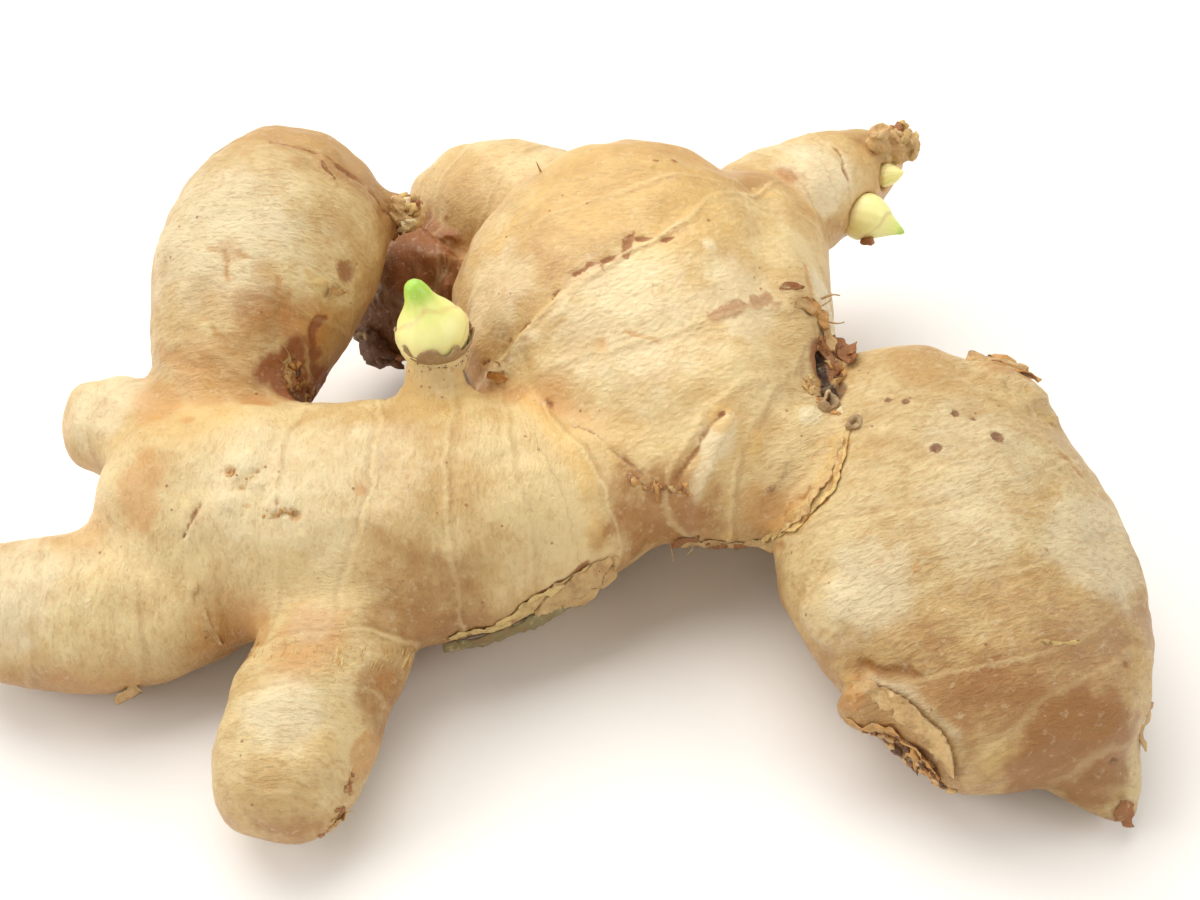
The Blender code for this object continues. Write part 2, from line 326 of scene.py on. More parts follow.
# Marks on the skin: middle, reach, tint, how strong the tint is, and rise (dent when below 0).
skinMarks = {
    "stalkPale": ((-16, -3, 36), 8, "cream", 0.8, 0.0),
    "stalkSpots": ((-16, -5, 37), 7, "speckle", 1.0, 0.0),
    "bodyShine": ((-40, -27, 35), 17, "cream", 0.55, 0.0),
    "bodyShineLow": ((-30, -32, 31), 9, "cream", 0.5, 0.2),
    "bodyTopYellow": ((-15, -6, 36), 13, "yellow", 0.8, 0.0),
    "bodyLeftYellow": ((-52, -14, 36), 12, "yellow", 0.7, 0.0),
    "bodyMidPale": ((-26, -25, 35), 15, "cream", 0.5, 0.0),
    # bodyLowBrownAndShade darkens the low front of the body: partly its own brown segment, partly painted
    # shade
    "bodyLowBrownAndShade": ((-17, -36, 20), 15, "brown", 0.5, 0.0),
    "bodyLowOrange": ((-45, -38, 17), 10, "orange", 0.65, 0.0),
    "redSpotBody": ((-25, -28, 34), 1.3, "orange", 1.1, -0.15),
    "redMarkBody": ((-52, -15, 36), 1.8, "orange", 1.0, -0.2),
    "pitA": ((-44, -25, 35), 1.3, "orange", 1.3, -0.6),
    "pitB": ((-40, -25, 35), 0.8, "red", 0.8, -0.4),
    "pitC": ((-34, -31, 32), 1.2, "orange", 1.2, -0.7),
    "pitD": ((-37, -31, 32), 0.9, "orange", 1.0, -0.4),
    "pitE": ((-41, -30, 33), 0.8, "orange", 1.0, -0.35),
    # the cream on the pit rims and pit bumps is painted highlight on their raised edges
    "pitRimA": ((-42, -24, 36), 3.0, "cream", 1.0, 0.6),
    "pitRimB": ((-36, -29, 33), 3.2, "cream", 1.0, 0.6),
    "pitRimC": ((-44, -29, 33), 2.6, "cream", 0.9, 0.5),
    "pitBumpA": ((-43, -26, 35), 0.8, "cream", 1.0, 0.55),
    "pitBumpB": ((-39.5, -27, 34.5), 1.0, "cream", 0.9, 0.5),
    "pitBumpC": ((-38, -30, 33), 0.9, "cream", 1.0, 0.55),
    "pitBumpD": ((-35.4, -31.5, 31.8), 0.8, "cream", 0.9, 0.5),
    "pitDipA": ((-42, -27.5, 34.2), 0.7, "orange", 0.9, -0.45),
    "pitDipB": ((-36.6, -29.6, 33), 0.7, "orange", 0.9, -0.45),
    "knobLump": ((-72, -3, 30), 5, "yellow", 0.4, 0.7),
    "knobDip": ((-68, -8, 31), 4, "tan", 0.3, -0.5),
    "fingerLumpA": ((-36, -55, 21), 4.5, "cream", 0.6, 0.7),
    "fingerLumpB": ((-28, -61, 18), 4.5, "yellow", 0.5, 0.7),
    "fingerLumpC": ((-38, -63, 14), 4.5, "tan", 0.4, 0.7),
    "fingerDip": ((-32, -60, 19), 3.5, "tan", 0.5, -0.5),
    "fingerPatch": ((-35, -66, 13), 5, "brown", 0.6, 0.0),
    "fingerWaist": ((-22, -47, 16), 4, "orange", 0.5, -0.6),
    "leftFingerLump": ((-72, -30, 25), 5, "yellow", 0.4, 0.6),
    "leftFingerDip": ((-65, -34, 26), 4, "cream", 0.4, -0.5),
    "rearLump": ((-58, 14, 48), 8, "cream", 0.3, 0.8),
    "rearDip": ((-52, 3, 44), 6, "tan", 0.4, -0.6),
    "knobRoot": ((-57, -8, 30), 9, "orange", 0.8, 0.0),
    "knobRootLow": ((-56, -24, 31), 7, "orange", 1.0, 0.0),
    "knobEnd": ((-74, -5, 27), 7, "orange", 0.55, 0.0),
    "fingerSplit": ((-57, -28, 31), 6, "orange", 1.0, 0.0),
    "leftFingerTop": ((-67, -27, 26), 9, "orange", 0.6, 0.0),
    "leftFingerShine": ((-75, -37, 23), 13, "cream", 0.85, 0.0),
    "knobShine": ((-69, -6, 31), 11, "cream", 0.8, 0.0),
    "leftFingerLow": ((-64, -42, 8), 12, "orange", 0.6, 0.0),
    "fingerFringe": ((-31, -46, 22), 9, "orange", 0.85, 0.0),
    "fingerFringeLeft": ((-38, -42, 16), 7, "orange", 0.8, 0.0),
    "fingerSheen": ((-31, -43, 22.5), 4.5, "cream", 1.2, 0.3),
    "fingerShine": ((-33, -57, 21), 8, "cream", 1.0, 0.2),
    "fingerRight": ((-21, -50, 15), 9, "brown", 0.65, 0.0),
    "fingerRed": ((-23, -58, 13), 4.5, "orange", 1.4, 0.0),
    "fingerEnd": ((-32, -68, 10), 8, "brown", 0.5, 0.0),
    "rearPale": ((-50, 12, 50), 19, "cream", 0.8, 0.0),
    "rearCap": ((-42, 38, 52), 20, "tan", 1.1, 0.0),
    "rearFoot": ((-51, -5, 36), 10, "orange", 0.75, 0.0),
    "rearGrey": ((-31.5, 12.5, 43), 3.2, "rust", 0.75, -0.4),
    "rearLowBrown": ((-42, 2, 42), 8, "brown", 0.6, 0.0),
    "redCrustTop": ((-38.5, 0.5, 36.5), 4.2, "red", 0.9, -0.3),
    "redCrustMid": ((-39.5, -0.6, 32.5), 8, "red", 1.2, -0.4),
    "redCrustLow": ((-38, 1, 26), 8, "red", 1.4, 0.0),
    "crustOrange": ((-37, 3, 39), 7, "orange", 1.0, 0.0),
    "crustOrangeB": ((-34, 6, 37), 5, "tan", 1.0, 0.0),
    "rosyA": ((-48, 8, 50), 3.6, "orange", 0.55, -0.25),
    "rosyB": ((-42, 6, 48), 3.2, "tan", 0.7, -0.2),
    "rosyC": ((-45, 1, 43), 7, "orange", 0.5, 0.0),
    "redCrustDeep": ((-37, -2, 30), 4, "umber", 1.0, -0.4),
    # shadowBrown to rearMidLow colour the lobe that sits in shade between the others: partly its own older
    # brown skin, partly painted shade
    "shadowBrown": ((-24, 38, 16), 26, "brown", 1.25, 0.0),
    "shadowDeep": ((-28, 32, 14), 16, "umber", 1.0, 0.0),
    "shadowRise": ((-24, 38, 26), 14, "rust", 0.9, 5.0),
    "shadowRiseB": ((-16, 34, 28), 9, "rust", 0.7, 2.0),
    "shadowBrownB": ((-8, 40, 20), 13, "rust", 1.0, 0.0),
    "shadowRed": ((-31, 22, 22), 14, "rust", 1.2, 0.0),
    "rearMidLow": ((-24, 45, 26), 9, "rust", 0.8, 0.0),
    "centralTop": ((14, 26, 55), 25, "yellow", 1.0, 0.0),
    "centralTopTan": ((22, 38, 52), 17, "tan", 1.0, 0.0),
    "centralLeftPale": ((-6, 10, 40), 13, "cream", 0.7, 0.0),
    "centralPale": ((14, -3, 45), 18, "cream", 0.65, 0.0),
    "centralPaleRight": ((30, 3, 44), 11, "cream", 0.7, 0.0),
    "scarFan": ((33, 4, 43.6), 2.2, "mauve", 0.9, 0.1),
    "pock": ((26, 10, 50), 1.8, "cream", 0.9, 0.3),
    "dotA": ((26, 15, 51), 0.6, "rust", 0.9, -0.2),
    "dotB": ((33, 10, 45), 0.8, "brown", 0.9, -0.2),
    "dotC": ((18, 26, 55), 1.0, "rust", 0.9, 0.2),
    "dotD": ((21, 27, 54.5), 1.2, "rust", 0.9, 0.2),
    "dotE": ((14, 19, 54), 1.0, "orange", 1.0, 0.0),
    "tanBlob": ((9, -5, 42), 2.4, "orange", 0.8, -0.2),
    "redSpot": ((27, -15, 37), 0.7, "rust", 1.2, -0.3),
    "redSpotHalo": ((26.5, -15.5, 36.5), 2.6, "yellow", 1.2, 0.35),
    # neckTan, neckShade and neckLowLeft darken the low front of the neck: partly its own brown, partly
    # painted shade
    "neckTan": ((18, -22, 23), 13, "brown", 0.8, 0.0),
    "neckShade": ((35, -22, 24), 8, "orange", 0.9, 0.0),
    "neckPale": ((26, -17, 33), 4, "cream", 0.9, 0.15),
    "neckLowLeft": ((10, -24, 22), 9, "brown", 0.45, 0.0),
    "neckBits": ((14, -21, 30), 1.5, "rust", 0.8, 0.2),
    "neckBitsB": ((17, -22, 29), 1.5, "rust", 0.8, 0.2),
    "bodyJoin": ((2, -8, 33.5), 6, "orange", 0.5, 0.0),
    # notchShade and notchDark are painted shade in the notch
    "notchShade": ((44, 0, 36), 5.0, "rust", 1.2, -0.5),
    "notchDark": ((45, -7, 34), 3.0, "umber", 1.1, -0.5),
    "notchPale": ((40.5, -12, 34), 3.0, "cream", 1.1, 0.4),
    "peeled": ((46, 11, 38), 8, "cream", 0.9, 0.0),
    "rightPale": ((64, -23, 37), 15, "cream", 0.55, 0.0),
    "rightPaleLow": ((60, -35, 34), 12, "cream", 0.55, 0.0),
    # rightSheenLeft is a painted highlight: cream where light catches the satin skin
    "rightSheenLeft": ((46, -41, 29), 9, "cream", 0.9, 0.0),
    "rightTopTan": ((60, -4, 37), 11, "tan", 0.8, 0.0),
    "rightCorner": ((71, -3, 33), 5, "orange", 1.1, 0.0),
    "cornerRise": ((73, -5, 33), 11, "tan", 0.4, 2.2),
    "rightPink": ((66, -48, 28), 15, "mauve", 0.4, 0.0),
    # rightPinkDeep and rightEndBrown darken the low front end of the right lobe: partly its own brown bands,
    # partly painted shade
    "rightPinkDeep": ((61, -54, 22), 12, "brown", 0.62, 0.0),
    "rightEndBrown": ((72, -59, 15), 14, "brown", 1.2, 0.0),
    "rightYellow": ((62, -61, 17), 4.5, "yellow", 1.0, 0.2),
    "rightYellowB": ((65, -62, 9), 3.5, "yellow", 0.9, 0.2),
    # rightEdgeSheen is a painted highlight: cream where light catches the satin skin
    "rightEdgeSheen": ((78, -36, 31), 13, "cream", 1.0, 0.0),
    "rightEdgeTan": ((83, -50, 20), 7, "yellow", 0.7, 0.0),
    "poreA": ((57, -23, 37.5), 1.25, "hole", 1.3, -0.9),
    "poreB": ((66, -21, 37.5), 1.4, "hole", 1.3, -0.95),
    "poreC": ((61, -16, 38), 0.95, "hole", 1.3, -0.6),
    "poreD": ((63.5, -17, 38), 0.85, "hole", 1.1, -0.5),
    "poreE": ((52, -12, 37), 0.8, "hole", 1.2, -0.5),
    "poreF": ((54.3, -13, 37.6), 0.85, "hole", 1.2, -0.5),
    "poreG": ((62, -8, 38), 0.6, "hole", 1.0, -0.5),
    "poreH": ((67, -7, 36), 0.6, "hole", 1.0, -0.5),
    "poreI": ((72, -9, 34), 0.7, "hole", 1.0, -0.5),
    "poreJ": ((70, -20, 37), 0.6, "hole", 1.0, -0.5),
    "poreRimA": ((57, -23, 37.5), 2.6, "cream", 0.7, 0.35),
    "poreRimB": ((66, -21, 37.5), 2.8, "cream", 0.7, 0.35),
    "rightDotA": ((75, -37, 33), 0.6, "rust", 1.0, -0.25),
    "rightDotB": ((52, -41, 32), 1.0, "orange", 1.0, -0.2),
    "rightDotC": ((78, -59, 14), 1.0, "hole", 1.1, -0.5),
    "rightDotD": ((80, -51, 24), 0.9, "brown", 1.1, -0.25),
    "rightDash": ((70, -39, 34), 0.8, "rust", 0.9, -0.3),
    "rightBulge": ((41, -42, 23), 9, "cream", 0.4, 1.6),
    "rightWaist": ((43, -50, 21), 4, "orange", 0.6, -1.4),
    "rootScarDark": ((50, -58, 12), 6, "umber", 1.2, -0.8),
    "rootScarBulge": ((45, -53, 15), 8, "tan", 0.4, 3.0),
    "rootScarOrange": ((45, -51, 18), 2.5, "orange", 0.8, 0.0),
    "rightRearPale": ((42, 46, 38), 7, "mauve", 0.6, 0.0),
    "rearFingerRoot": ((40, 40, 40), 8, "orange", 0.7, 0.0),
    "rearFingerPale": ((48, 46, 41), 12, "cream", 0.85, 0.0),
    "stumpRed": ((60, 55, 40), 2, "rust", 0.8, 0.0),
}

# Lines on the skin: points along them, half width, tint, strength, rise, and how far they wander.
skinLines = {
    "rearStreakA": (((-53, 10, 50), (-50, 8, 51), (-48.5, 5, 50)), 0.35, "orange", 1.1, -0.25, 1.0),
    "rearStreakB": (((-43, 9, 49), (-41, 7, 48), (-39.5, 3, 45)), 0.45, "orange", 1.1, -0.3, 1.0),
    "rearCreaseA": (
        ((-48.5, 9.5, 50.5), (-48, 6.5, 49), (-47.6, 4.5, 47.8)), 0.5, "orange", 1.1, -0.4, 1.2,
    ),
    "rearCreaseB": (
        ((-45.8, 8, 49.8), (-41.5, 6.3, 48), (-41, 4.5, 46.5)), 0.5, "orange", 1.2, -0.4, 1.3,
    ),
    "rearCreaseC": (((-38, 10, 48.5), (-36, 8, 46.5), (-34, 8.5, 44.5)), 0.6, "yellow", 0.8, 0.4, 1.2),
    "rearCreaseD": (((-53, 1, 43), (-50, -1.5, 41), (-46, -2.5, 40.5)), 0.5, "orange", 0.9, -0.35, 1.4),
    "fingerCrease": (((-26, -57, 18.5), (-30, -59, 19), (-35, -60, 17.5)), 0.5, "tan", 0.9, -0.35, 1.2),
    "leftFingerCrease": (
        ((-64, -36, 24.5), (-65, -40, 19), (-65.5, -43, 13)), 0.45, "orange", 0.9, -0.35, 1.2,
    ),
    "fanA": (((26, -2, 45), (30, 1, 44.8), (35, 5, 43.2)), 1.0, "mauve", 1.0, 0.15, 0.5),
    "fanB": (((30, -0.5, 44.6), (33, 2, 44), (37, 4, 42.6)), 0.8, "mauve", 0.9, 0.1, 0.6),
    "crackBand": (
        ((4, 4, 48), (8, 6, 50), (11, 7, 51), (14, 9, 52), (20, 10, 52)), 0.36, "rust", 1.5, -0.5, 1.0,
    ),
    "crackFringeA": (
        ((9.5, 6.6, 50.4), (12.5, 7.9, 51.2), (16, 9.6, 51.9)), 0.6, "rust", 1.15, -0.2, 1.9,
    ),
    "crackFringeB": (
        ((14, 9, 51.8), (14.2, 10.8, 52), (13.6, 12.2, 52.2)), 0.28, "rust", 1.1, -0.15, 0.8,
    ),
    "crackFringeC": (
        ((10, 6.8, 50.6), (9.2, 5.4, 50), (9.4, 4.4, 49.4)), 0.25, "rust", 1.1, -0.15, 0.6,
    ),
    "crackSpikes": (
        ((12.5, 8.5, 51.5), (15, 11.5, 52), (16.5, 13.2, 52.3)), 0.3, "rust", 1.3, -0.15, 0.6,
    ),
    "crackThin": (
        ((5, 4.6, 48.6), (3, 3, 47), (-1, 1, 43), (-6, 1, 37), (-10, 2, 31)), 0.33, "rust", 0.85, -0.55,
        0.9,
    ),
    "crackLip": (
        ((4, 1, 46.5), (0, -1, 42.5), (-5, -1, 36.5), (-9, 0, 31)), 1.1, "cream", 0.7, 0.45, 0.8,
    ),
    "centralArc": (
        ((-8, 16, 45), (2, 24, 52), (11, 23, 55), (24, 26, 53), (39, 31, 46)), 1.0, "yellow", 0.8, 0.35,
        1.0,
    ),
    "orangeThread": (((17, 5, 50), (16.5, 2.5, 48.5), (17, 0, 47)), 0.22, "orange", 1.2, -0.1, 0.5),
    "orangeThreadLow": (((13, -4, 44), (15, -5, 44), (18, -5.5, 43.5)), 0.3, "orange", 1.1, -0.1, 0.4),
    "neckGroove": (
        ((27, -14.5, 37.2), (24, -17.5, 34), (20.5, -20.5, 29.5), (18.5, -22, 26), (18.5, -23, 21)),
        0.4, "brown", 0.9, -0.55, 0.7,
    ),
    "neckStripe": (
        ((28, -15.5, 36.5), (25.5, -18.5, 32), (23, -21.5, 27), (22.5, -22, 20)), 1.2, "cream", 0.9,
        0.4, 0.5,
    ),
    "neckFoldA": (
        ((33, -17, 34), (30, -19, 30), (28, -21, 26), (28.5, -21, 17)), 1.0, "yellow", 1.0, 0.45, 0.6,
    ),
    "neckFoldB": (
        ((38, -19, 32), (35, -21, 29), (32, -21.5, 24), (31, -20, 17)), 0.8, "umber", 0.6, 0.35, 0.6,
    ),
    "brownLine": (
        ((-2, -6, 33), (5, -12, 34), (11, -18, 32), (15, -21, 30)), 0.4, "rust", 0.6, -0.5, 0.8,
    ),
    "yellowFold": (
        ((-2, -8, 34), (3, -16, 34), (7, -23, 30), (8, -27, 24)), 1.6, "yellow", 1.0, 0.55, 0.9,
    ),
    "crustStreakA": (
        ((-39.5, 3.8, 43.9), (-39.9, 1.1, 40.2), (-39, 0, 37)), 0.6, "orange", 1.3, -0.3, 1.2,
    ),
    "crustStreakB": (((-35, 5, 39), (-36.2, 2.8, 36.1), (-37, 2, 33)), 0.8, "red", 1.1, -0.3, 1.2),
    "crustStreakC": (
        ((-38.2, 3.4, 42), (-37.4, 2, 37.5), (-37, 1.5, 35)), 0.5, "orange", 1.2, 0.2, 1.0,
    ),
    "seamLineA": (
        (
            (45.4, -17.5, 34.2), (44, -22.5, 32.9), (41.8, -26.4, 30.7), (39, -27.4, 27.5),
            (36, -25.7, 22.8), (34, -20.5, 16),
        ),
        0.45, "orange", 1.2, -0.35, 0.4,
    ),
    "seamLineB": (
        (
            (43.8, -17.3, 33.3), (42.3, -21.3, 31.8), (40.3, -24.9, 29.5), (38, -25.3, 26.6),
            (35.6, -24, 22),
        ),
        0.6, "yellow", 1.1, 0.45, 0.8,
    ),
    "seamBand": (
        ((45, -17, 34.6), (43.2, -21.6, 32.4), (41, -25, 30), (38.4, -26.2, 27.2), (36, -24.8, 22.5)),
        1.7, "yellow", 0.9, 0.25, 1.0,
    ),
    "seamLineC": (
        ((42, -18.5, 33.5), (40.5, -22, 31.5), (38.5, -24, 28.5), (36, -24, 25)), 0.35, "brown", 0.8,
        -0.3, 0.9,
    ),
    "stepCrack": (((-48, -29, 32.5), (-49, -31, 31), (-50.5, -33, 29)), 0.32, "rust", 0.8, -0.5, 0.6),
    # the slit's near-black tint is painted shade inside the deep crack
    "slit": (
        ((43.7, 0, 35.6), (43.9, -3, 35), (44.1, -6, 34.4), (44.2, -8.5, 34)), 0.95, "dark", 1.9, -2.4,
        0.25,
    ),
    "rightEdgeCrack": (((42, 14, 43), (42, 11, 42), (42.5, 7, 41)), 0.5, "orange", 1.3, -0.3, 0.4),
    "capEdge": (
        (
            (-44.5, 30, 56.9), (-39.9, 28.9, 56.5), (-35.5, 28.4, 54.9), (-31.3, 27.5, 51.7),
            (-28, 29, 47), (-26.6, 29.4, 42.8),
        ),
        0.32, "rust", 0.95, -0.5, 0.7,
    ),
    "capEdgeB": (
        ((-35.5, 28.6, 54.6), (-31.3, 27.8, 51.4), (-29, 28.6, 48.6)), 0.6, "rust", 0.9, -0.4, 0.9,
    ),
    "orangeBound": (
        ((-60, 1, 36), (-55, -3, 37.5), (-50, -6, 37), (-45, -8, 35), (-42, -8, 33)), 1.3, "orange",
        1.1, -0.4, 1.0,
    ),
    "foldA": (((-22, 40, 28), (-19, 31, 29), (-15, 20, 32)), 0.8, "rust", 1.2, -0.7, 0.5),
    "foldB": (((-25, 36, 24), (-21, 30, 26), (-17, 22, 28)), 1.2, "tan", 0.5, 0.8, 0.7),
    "bodyEdgeRed": (((-2, -34, 17), (3, -31.5, 19.5), (7, -29.5, 21)), 0.5, "rust", 0.9, -0.4, 0.6),
    "rightScratch": (
        ((76.5, -20, 33.6), (78, -21, 33), (79.5, -22.5, 32)), 0.5, "orange", 1.2, -0.3, 0.4,
    ),
    "rearFingerCrease": (
        ((52, 53, 42), (53, 49, 40), (54, 47, 36), (54, 46, 32)), 0.35, "rust", 0.7, -0.45, 0.6,
    ),
    "rearFingerCreaseB": (
        ((44, 46, 42), (46, 42, 41), (48, 40, 37), (48, 39, 33)), 0.35, "rust", 0.7, -0.5, 0.6,
    ),
    "rootFoldA": (
        ((44, -49, 21), (50, -52, 24), (57, -57, 22), (61, -61, 16)), 0.7, "brown", 0.8, -0.6, 0.4,
    ),
    "rootFoldB": (
        ((45, -50.5, 20), (50, -54, 22), (56, -59, 19.5), (58.5, -61, 15)), 1.0, "cream", 0.7, 0.6, 0.4,
    ),
}

# how the edges of the marks and lines wander
markEdges = {
    "rippleSize": 3.0, "ripple": 0.22,
    "fineSize": 1.1, "fine": 0.08,
    "plainBelow": 1.4,  # a mark smaller than this stays round
    "core": 0.35, "riseCore": 0.2, "riseEdge": 0.8,
    "lineReach": 40, "swaySize": 3.2, "swayFineSize": 1.2, "swayFine": 0.35,
    "lineCore": 0.4, "lineEdge": 1.8,
}

skinShape = {
    "voxel": 0.56,
    "smoothing": 20,
    "triangles": 196000,
    # size, height and seed of the lumps over the whole skin
    "layers": {"lumps": (17, 0.75, 3), "dimples": (6.0, 0.52, 5), "knobbles": (3.4, 0.24, 6)},
    "bendSize": 6, "bend": 1.2,  # how far the grain strays from its way
    "wrinkleSize": 3.0, "wrinkleHeight": 0.09, "wrinkleStretch": 1.3,
    "fineShare": 0.6, "fineStretch": 0.5,
    "pebbleSize": 1.9, "pebbleHeight": 0.07, "pebbleStretch": 0.4,
    "ringWaist": 0.42, "ringWaistWidth": 2.4,
    "ringLip": 0.24, "ringLipWidth": 0.5,
    "crust": ((2.2, 0.5, 90), (1.2, 0.35, 91)),
    "hollowPasses": 40,
}

# how ring scars wander and fade
ringShape = {
    "wander": 1.5, "wanderSize": 11, "ripple": 0.45, "rippleSize": 3.4,
    "reach": (1.25, 1.45),  # shares of the radius where the ring fades out
    "patchSize": 7, "patchMean": 0.68, "patchSwing": 0.5,
    "toneFade": (10, 22), "farAway": 9.0,
}


def pointsOf(data):
    flat = np.empty(len(data.vertices) * 3, np.float32)
    data.vertices.foreach_get("co", flat)
    return flat.reshape(-1, 3).astype(float) / mm - middleMm


def normalsOf(data):
    flat = np.empty(len(data.vertices) * 3, np.float32)
    data.vertices.foreach_get("normal", flat)
    return flat.reshape(-1, 3).astype(float)


def putPoints(data, points):
    data.vertices.foreach_set("co", ((points + middleMm) * mm).astype(np.float32).ravel())
    data.update()


def putAttribute(data, name, values):
    layer = data.attributes.new(name, "FLOAT", "POINT")
    layer.data.foreach_set("value", values.astype(np.float32))


def edgesOf(data):
    flat = np.empty(len(data.edges) * 2, np.int32)
    data.edges.foreach_get("vertices", flat)
    return flat.reshape(-1, 2)


def neighbourMean(values, edges, near):
    total = np.bincount(edges[:, 0], values[edges[:, 1]], len(values))
    total += np.bincount(edges[:, 1], values[edges[:, 0]], len(values))
    return total / near


def hollows(data, base, normals):
    # above 0 where lobes meet, below 0 on their crests, evened out over the mesh
    edges = edgesOf(data)
    near = np.bincount(edges.ravel(), minlength=len(base))
    around = np.stack([neighbourMean(base[:, axis], edges, near) for axis in range(3)], axis=1)
    values = np.sum((around - base) * normals, axis=1)
    for _ in range(skinShape["hollowPasses"]):
        values = 0.5 * values + 0.5 * neighbourMean(values, edges, near)
    return values


def lobeWeights(points):
    # how much each lobe has to say about the skin at each point
    longest, fade = 1.2, 3
    weights = []
    for centre, way, thick in lobes.values():
        way = unit(way)
        away = points - np.array(centre, float)
        beside = away - np.outer(np.clip(away @ way, -longest * thick, longest * thick), way)
        weights.append(np.exp(-fade * (np.linalg.norm(beside, axis=1) / thick) ** 2))
    weights = np.array(weights) + 1e-9
    return weights / weights.sum(axis=0)


# Grains of the skin: the way that the wrinkles are pressed together, and the lobes that share it.
grains = {
    "grainSide": ((-1.0, -0.08, 0.0),
                  ("frontBody", "neckLeft", "leftFinger", "leftKnob", "shadowLobe", "rearMid")),
    "grainFront": ((0.05, 0.93, 0.3), ("frontFinger", "leftRear")),
    "grainRight": ((0.33, -0.85, -0.4), ("rightLobe", "neckRight")),
    "pebbly": ((-0.3, 0.8, 0.5), ("centralLobe", "rearRight")),
}
# the old skin beyond the long crack is smoother than the pebbly skin before it
oldSkin = {
    "place": (10, 21, 26), "way": (-0.6, 0.68, 0.43), "edge": (-0.5, 1.5),
    "share": 0.65, "ridged": 0.7,
}


def grainWeights(points):
    shares = dict(zip(lobes, lobeWeights(points)))
    weights = {name: sum(shares[lobe] for lobe in members) for name, (_, members) in grains.items()}
    beyond = smoothStep((points - oldSkin["place"]) @ oldSkin["way"], *oldSkin["edge"])
    beyond = beyond * weights["pebbly"] * oldSkin["share"]
    weights["pebbly"] = weights["pebbly"] - beyond
    weights["grainFront"] = weights["grainFront"] + beyond * oldSkin["ridged"]
    return weights


def pressed(points, way, stretch):
    way = unit(way)
    return points + stretch * np.outer(points @ way, way)


def ringFields(points):
    # nearest ring scar: signed distance to it, how strong it is, and the tone it leaves
    nearest = np.full(len(points), ringShape["farAway"])
    strength = np.zeros(len(points))
    tone = np.zeros(len(points))
    wander = lumps(points, ringShape["wanderSize"], 31) * ringShape["wander"]
    wander += lumps(points, ringShape["rippleSize"], 37) * ringShape["ripple"]
    for number, (centre, facing, radius, raised, beyond) in enumerate(ringScars.values()):
        away = points - np.array(centre, float)
        gap = away @ unit(facing) + wander
        fullTo, goneBy = ringShape["reach"]
        inside = 1 - smoothStep(np.linalg.norm(away, axis=1), radius * fullTo, radius * goneBy)
        patches = lumps(points, ringShape["patchSize"], 50 + number)
        patchy = ringShape["patchMean"] + ringShape["patchSwing"] * patches
        closer = (np.abs(gap) < np.abs(nearest)) & (inside > 0.05)
        nearest = np.where(closer, gap, nearest)
        strength = np.where(closer, inside * raised * patchy, strength)
        tone += beyond * inside * smoothStep(gap, -0.5, 0.5) * (1 - smoothStep(gap, *ringShape["toneFade"]))
    return nearest, strength, tone


def lineDistance(points, corners):
    best = np.full(len(points), 99.0)
    for start, end in zip(corners[:-1], corners[1:]):
        start, end = np.array(start, float), np.array(end, float)
        run = end - start
        share = np.clip((points - start) @ run / (run @ run), 0, 1)
        best = np.minimum(best, np.linalg.norm(points - start - np.outer(share, run), axis=1))
    return best


def addMarks(points, tints, rise):
    edges = markEdges
    ripple = lumps(points, edges["rippleSize"], 61)
    fine = lumps(points, edges["fineSize"], 62)
    for centre, reach, tint, strength, height in skinMarks.values():
        gap = np.linalg.norm(points - np.array(centre, float), axis=1)
        gap = gap + (edges["ripple"] * ripple + edges["fine"] * fine) * reach * (reach > edges["plainBelow"])
        share = 1 - smoothStep(gap, edges["core"] * reach, reach)
        tints[tint] = np.maximum(tints[tint], share * strength)
        rise += height * (1 - smoothStep(gap, edges["riseCore"] * reach, edges["riseEdge"] * reach))


def addLines(points, tints, rise):
    edges = markEdges
    for corners, width, tint, strength, height, wander in skinLines.values():
        nearby = np.linalg.norm(points - np.mean(corners, axis=0), axis=1) < edges["lineReach"]
        sway = lumpVectors(points[nearby], edges["swaySize"], 71) * wander
        sway += lumpVectors(points[nearby], edges["swayFineSize"], 81) * wander * edges["swayFine"]
        gap = lineDistance(points[nearby] + sway, corners)
        share = 1 - smoothStep(gap, edges["lineCore"] * width, edges["lineEdge"] * width)
        tints[tint][nearby] = np.maximum(tints[tint][nearby], share * strength)
        rise[nearby] += height * bell(gap, width)


def skinMesh():
    # the CAD solid's own surface, welded, evened out on a fine grid and smoothed
    mesh = bmesh.new()
    mesh.from_mesh(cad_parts["rhizome"].data)
    bmesh.ops.remove_doubles(mesh, verts=mesh.verts, dist=0.01 * mm)
    source = newPiece("skinSource", mesh)
    even = source.modifiers.new("even", "REMESH")
    even.mode = "VOXEL"
    even.voxel_size = skinShape["voxel"] * mm
    soften = source.modifiers.new("soften", "SMOOTH")
    soften.factor = 0.5
    soften.iterations = skinShape["smoothing"]
    return evaluatedMesh(source)


def evaluatedMesh(source):
    graph = bpy.context.evaluated_depsgraph_get()
    data = bpy.data.meshes.new_from_object(source.evaluated_get(graph))
    bpy.data.objects.remove(source)
    data.name = "gingerSkin"
    return data


def thinned(data):
    full = placePiece("skinFull", data)
    thin = full.modifiers.new("thin", "DECIMATE")
    data.calc_loop_triangles()
    thin.ratio = min(1.0, skinShape["triangles"] / len(data.loop_triangles))
    kept = evaluatedMesh(full)
    kept.shade_smooth()
    kept.calc_loop_triangles()
    print("skin:", len(data.loop_triangles), "->", len(kept.loop_triangles), "triangles")
    return kept


tintNames = ("cream", "yellow", "tan", "brown", "mauve", "orange", "rust", "red", "umber", "hole", "dark",
             "speckle")


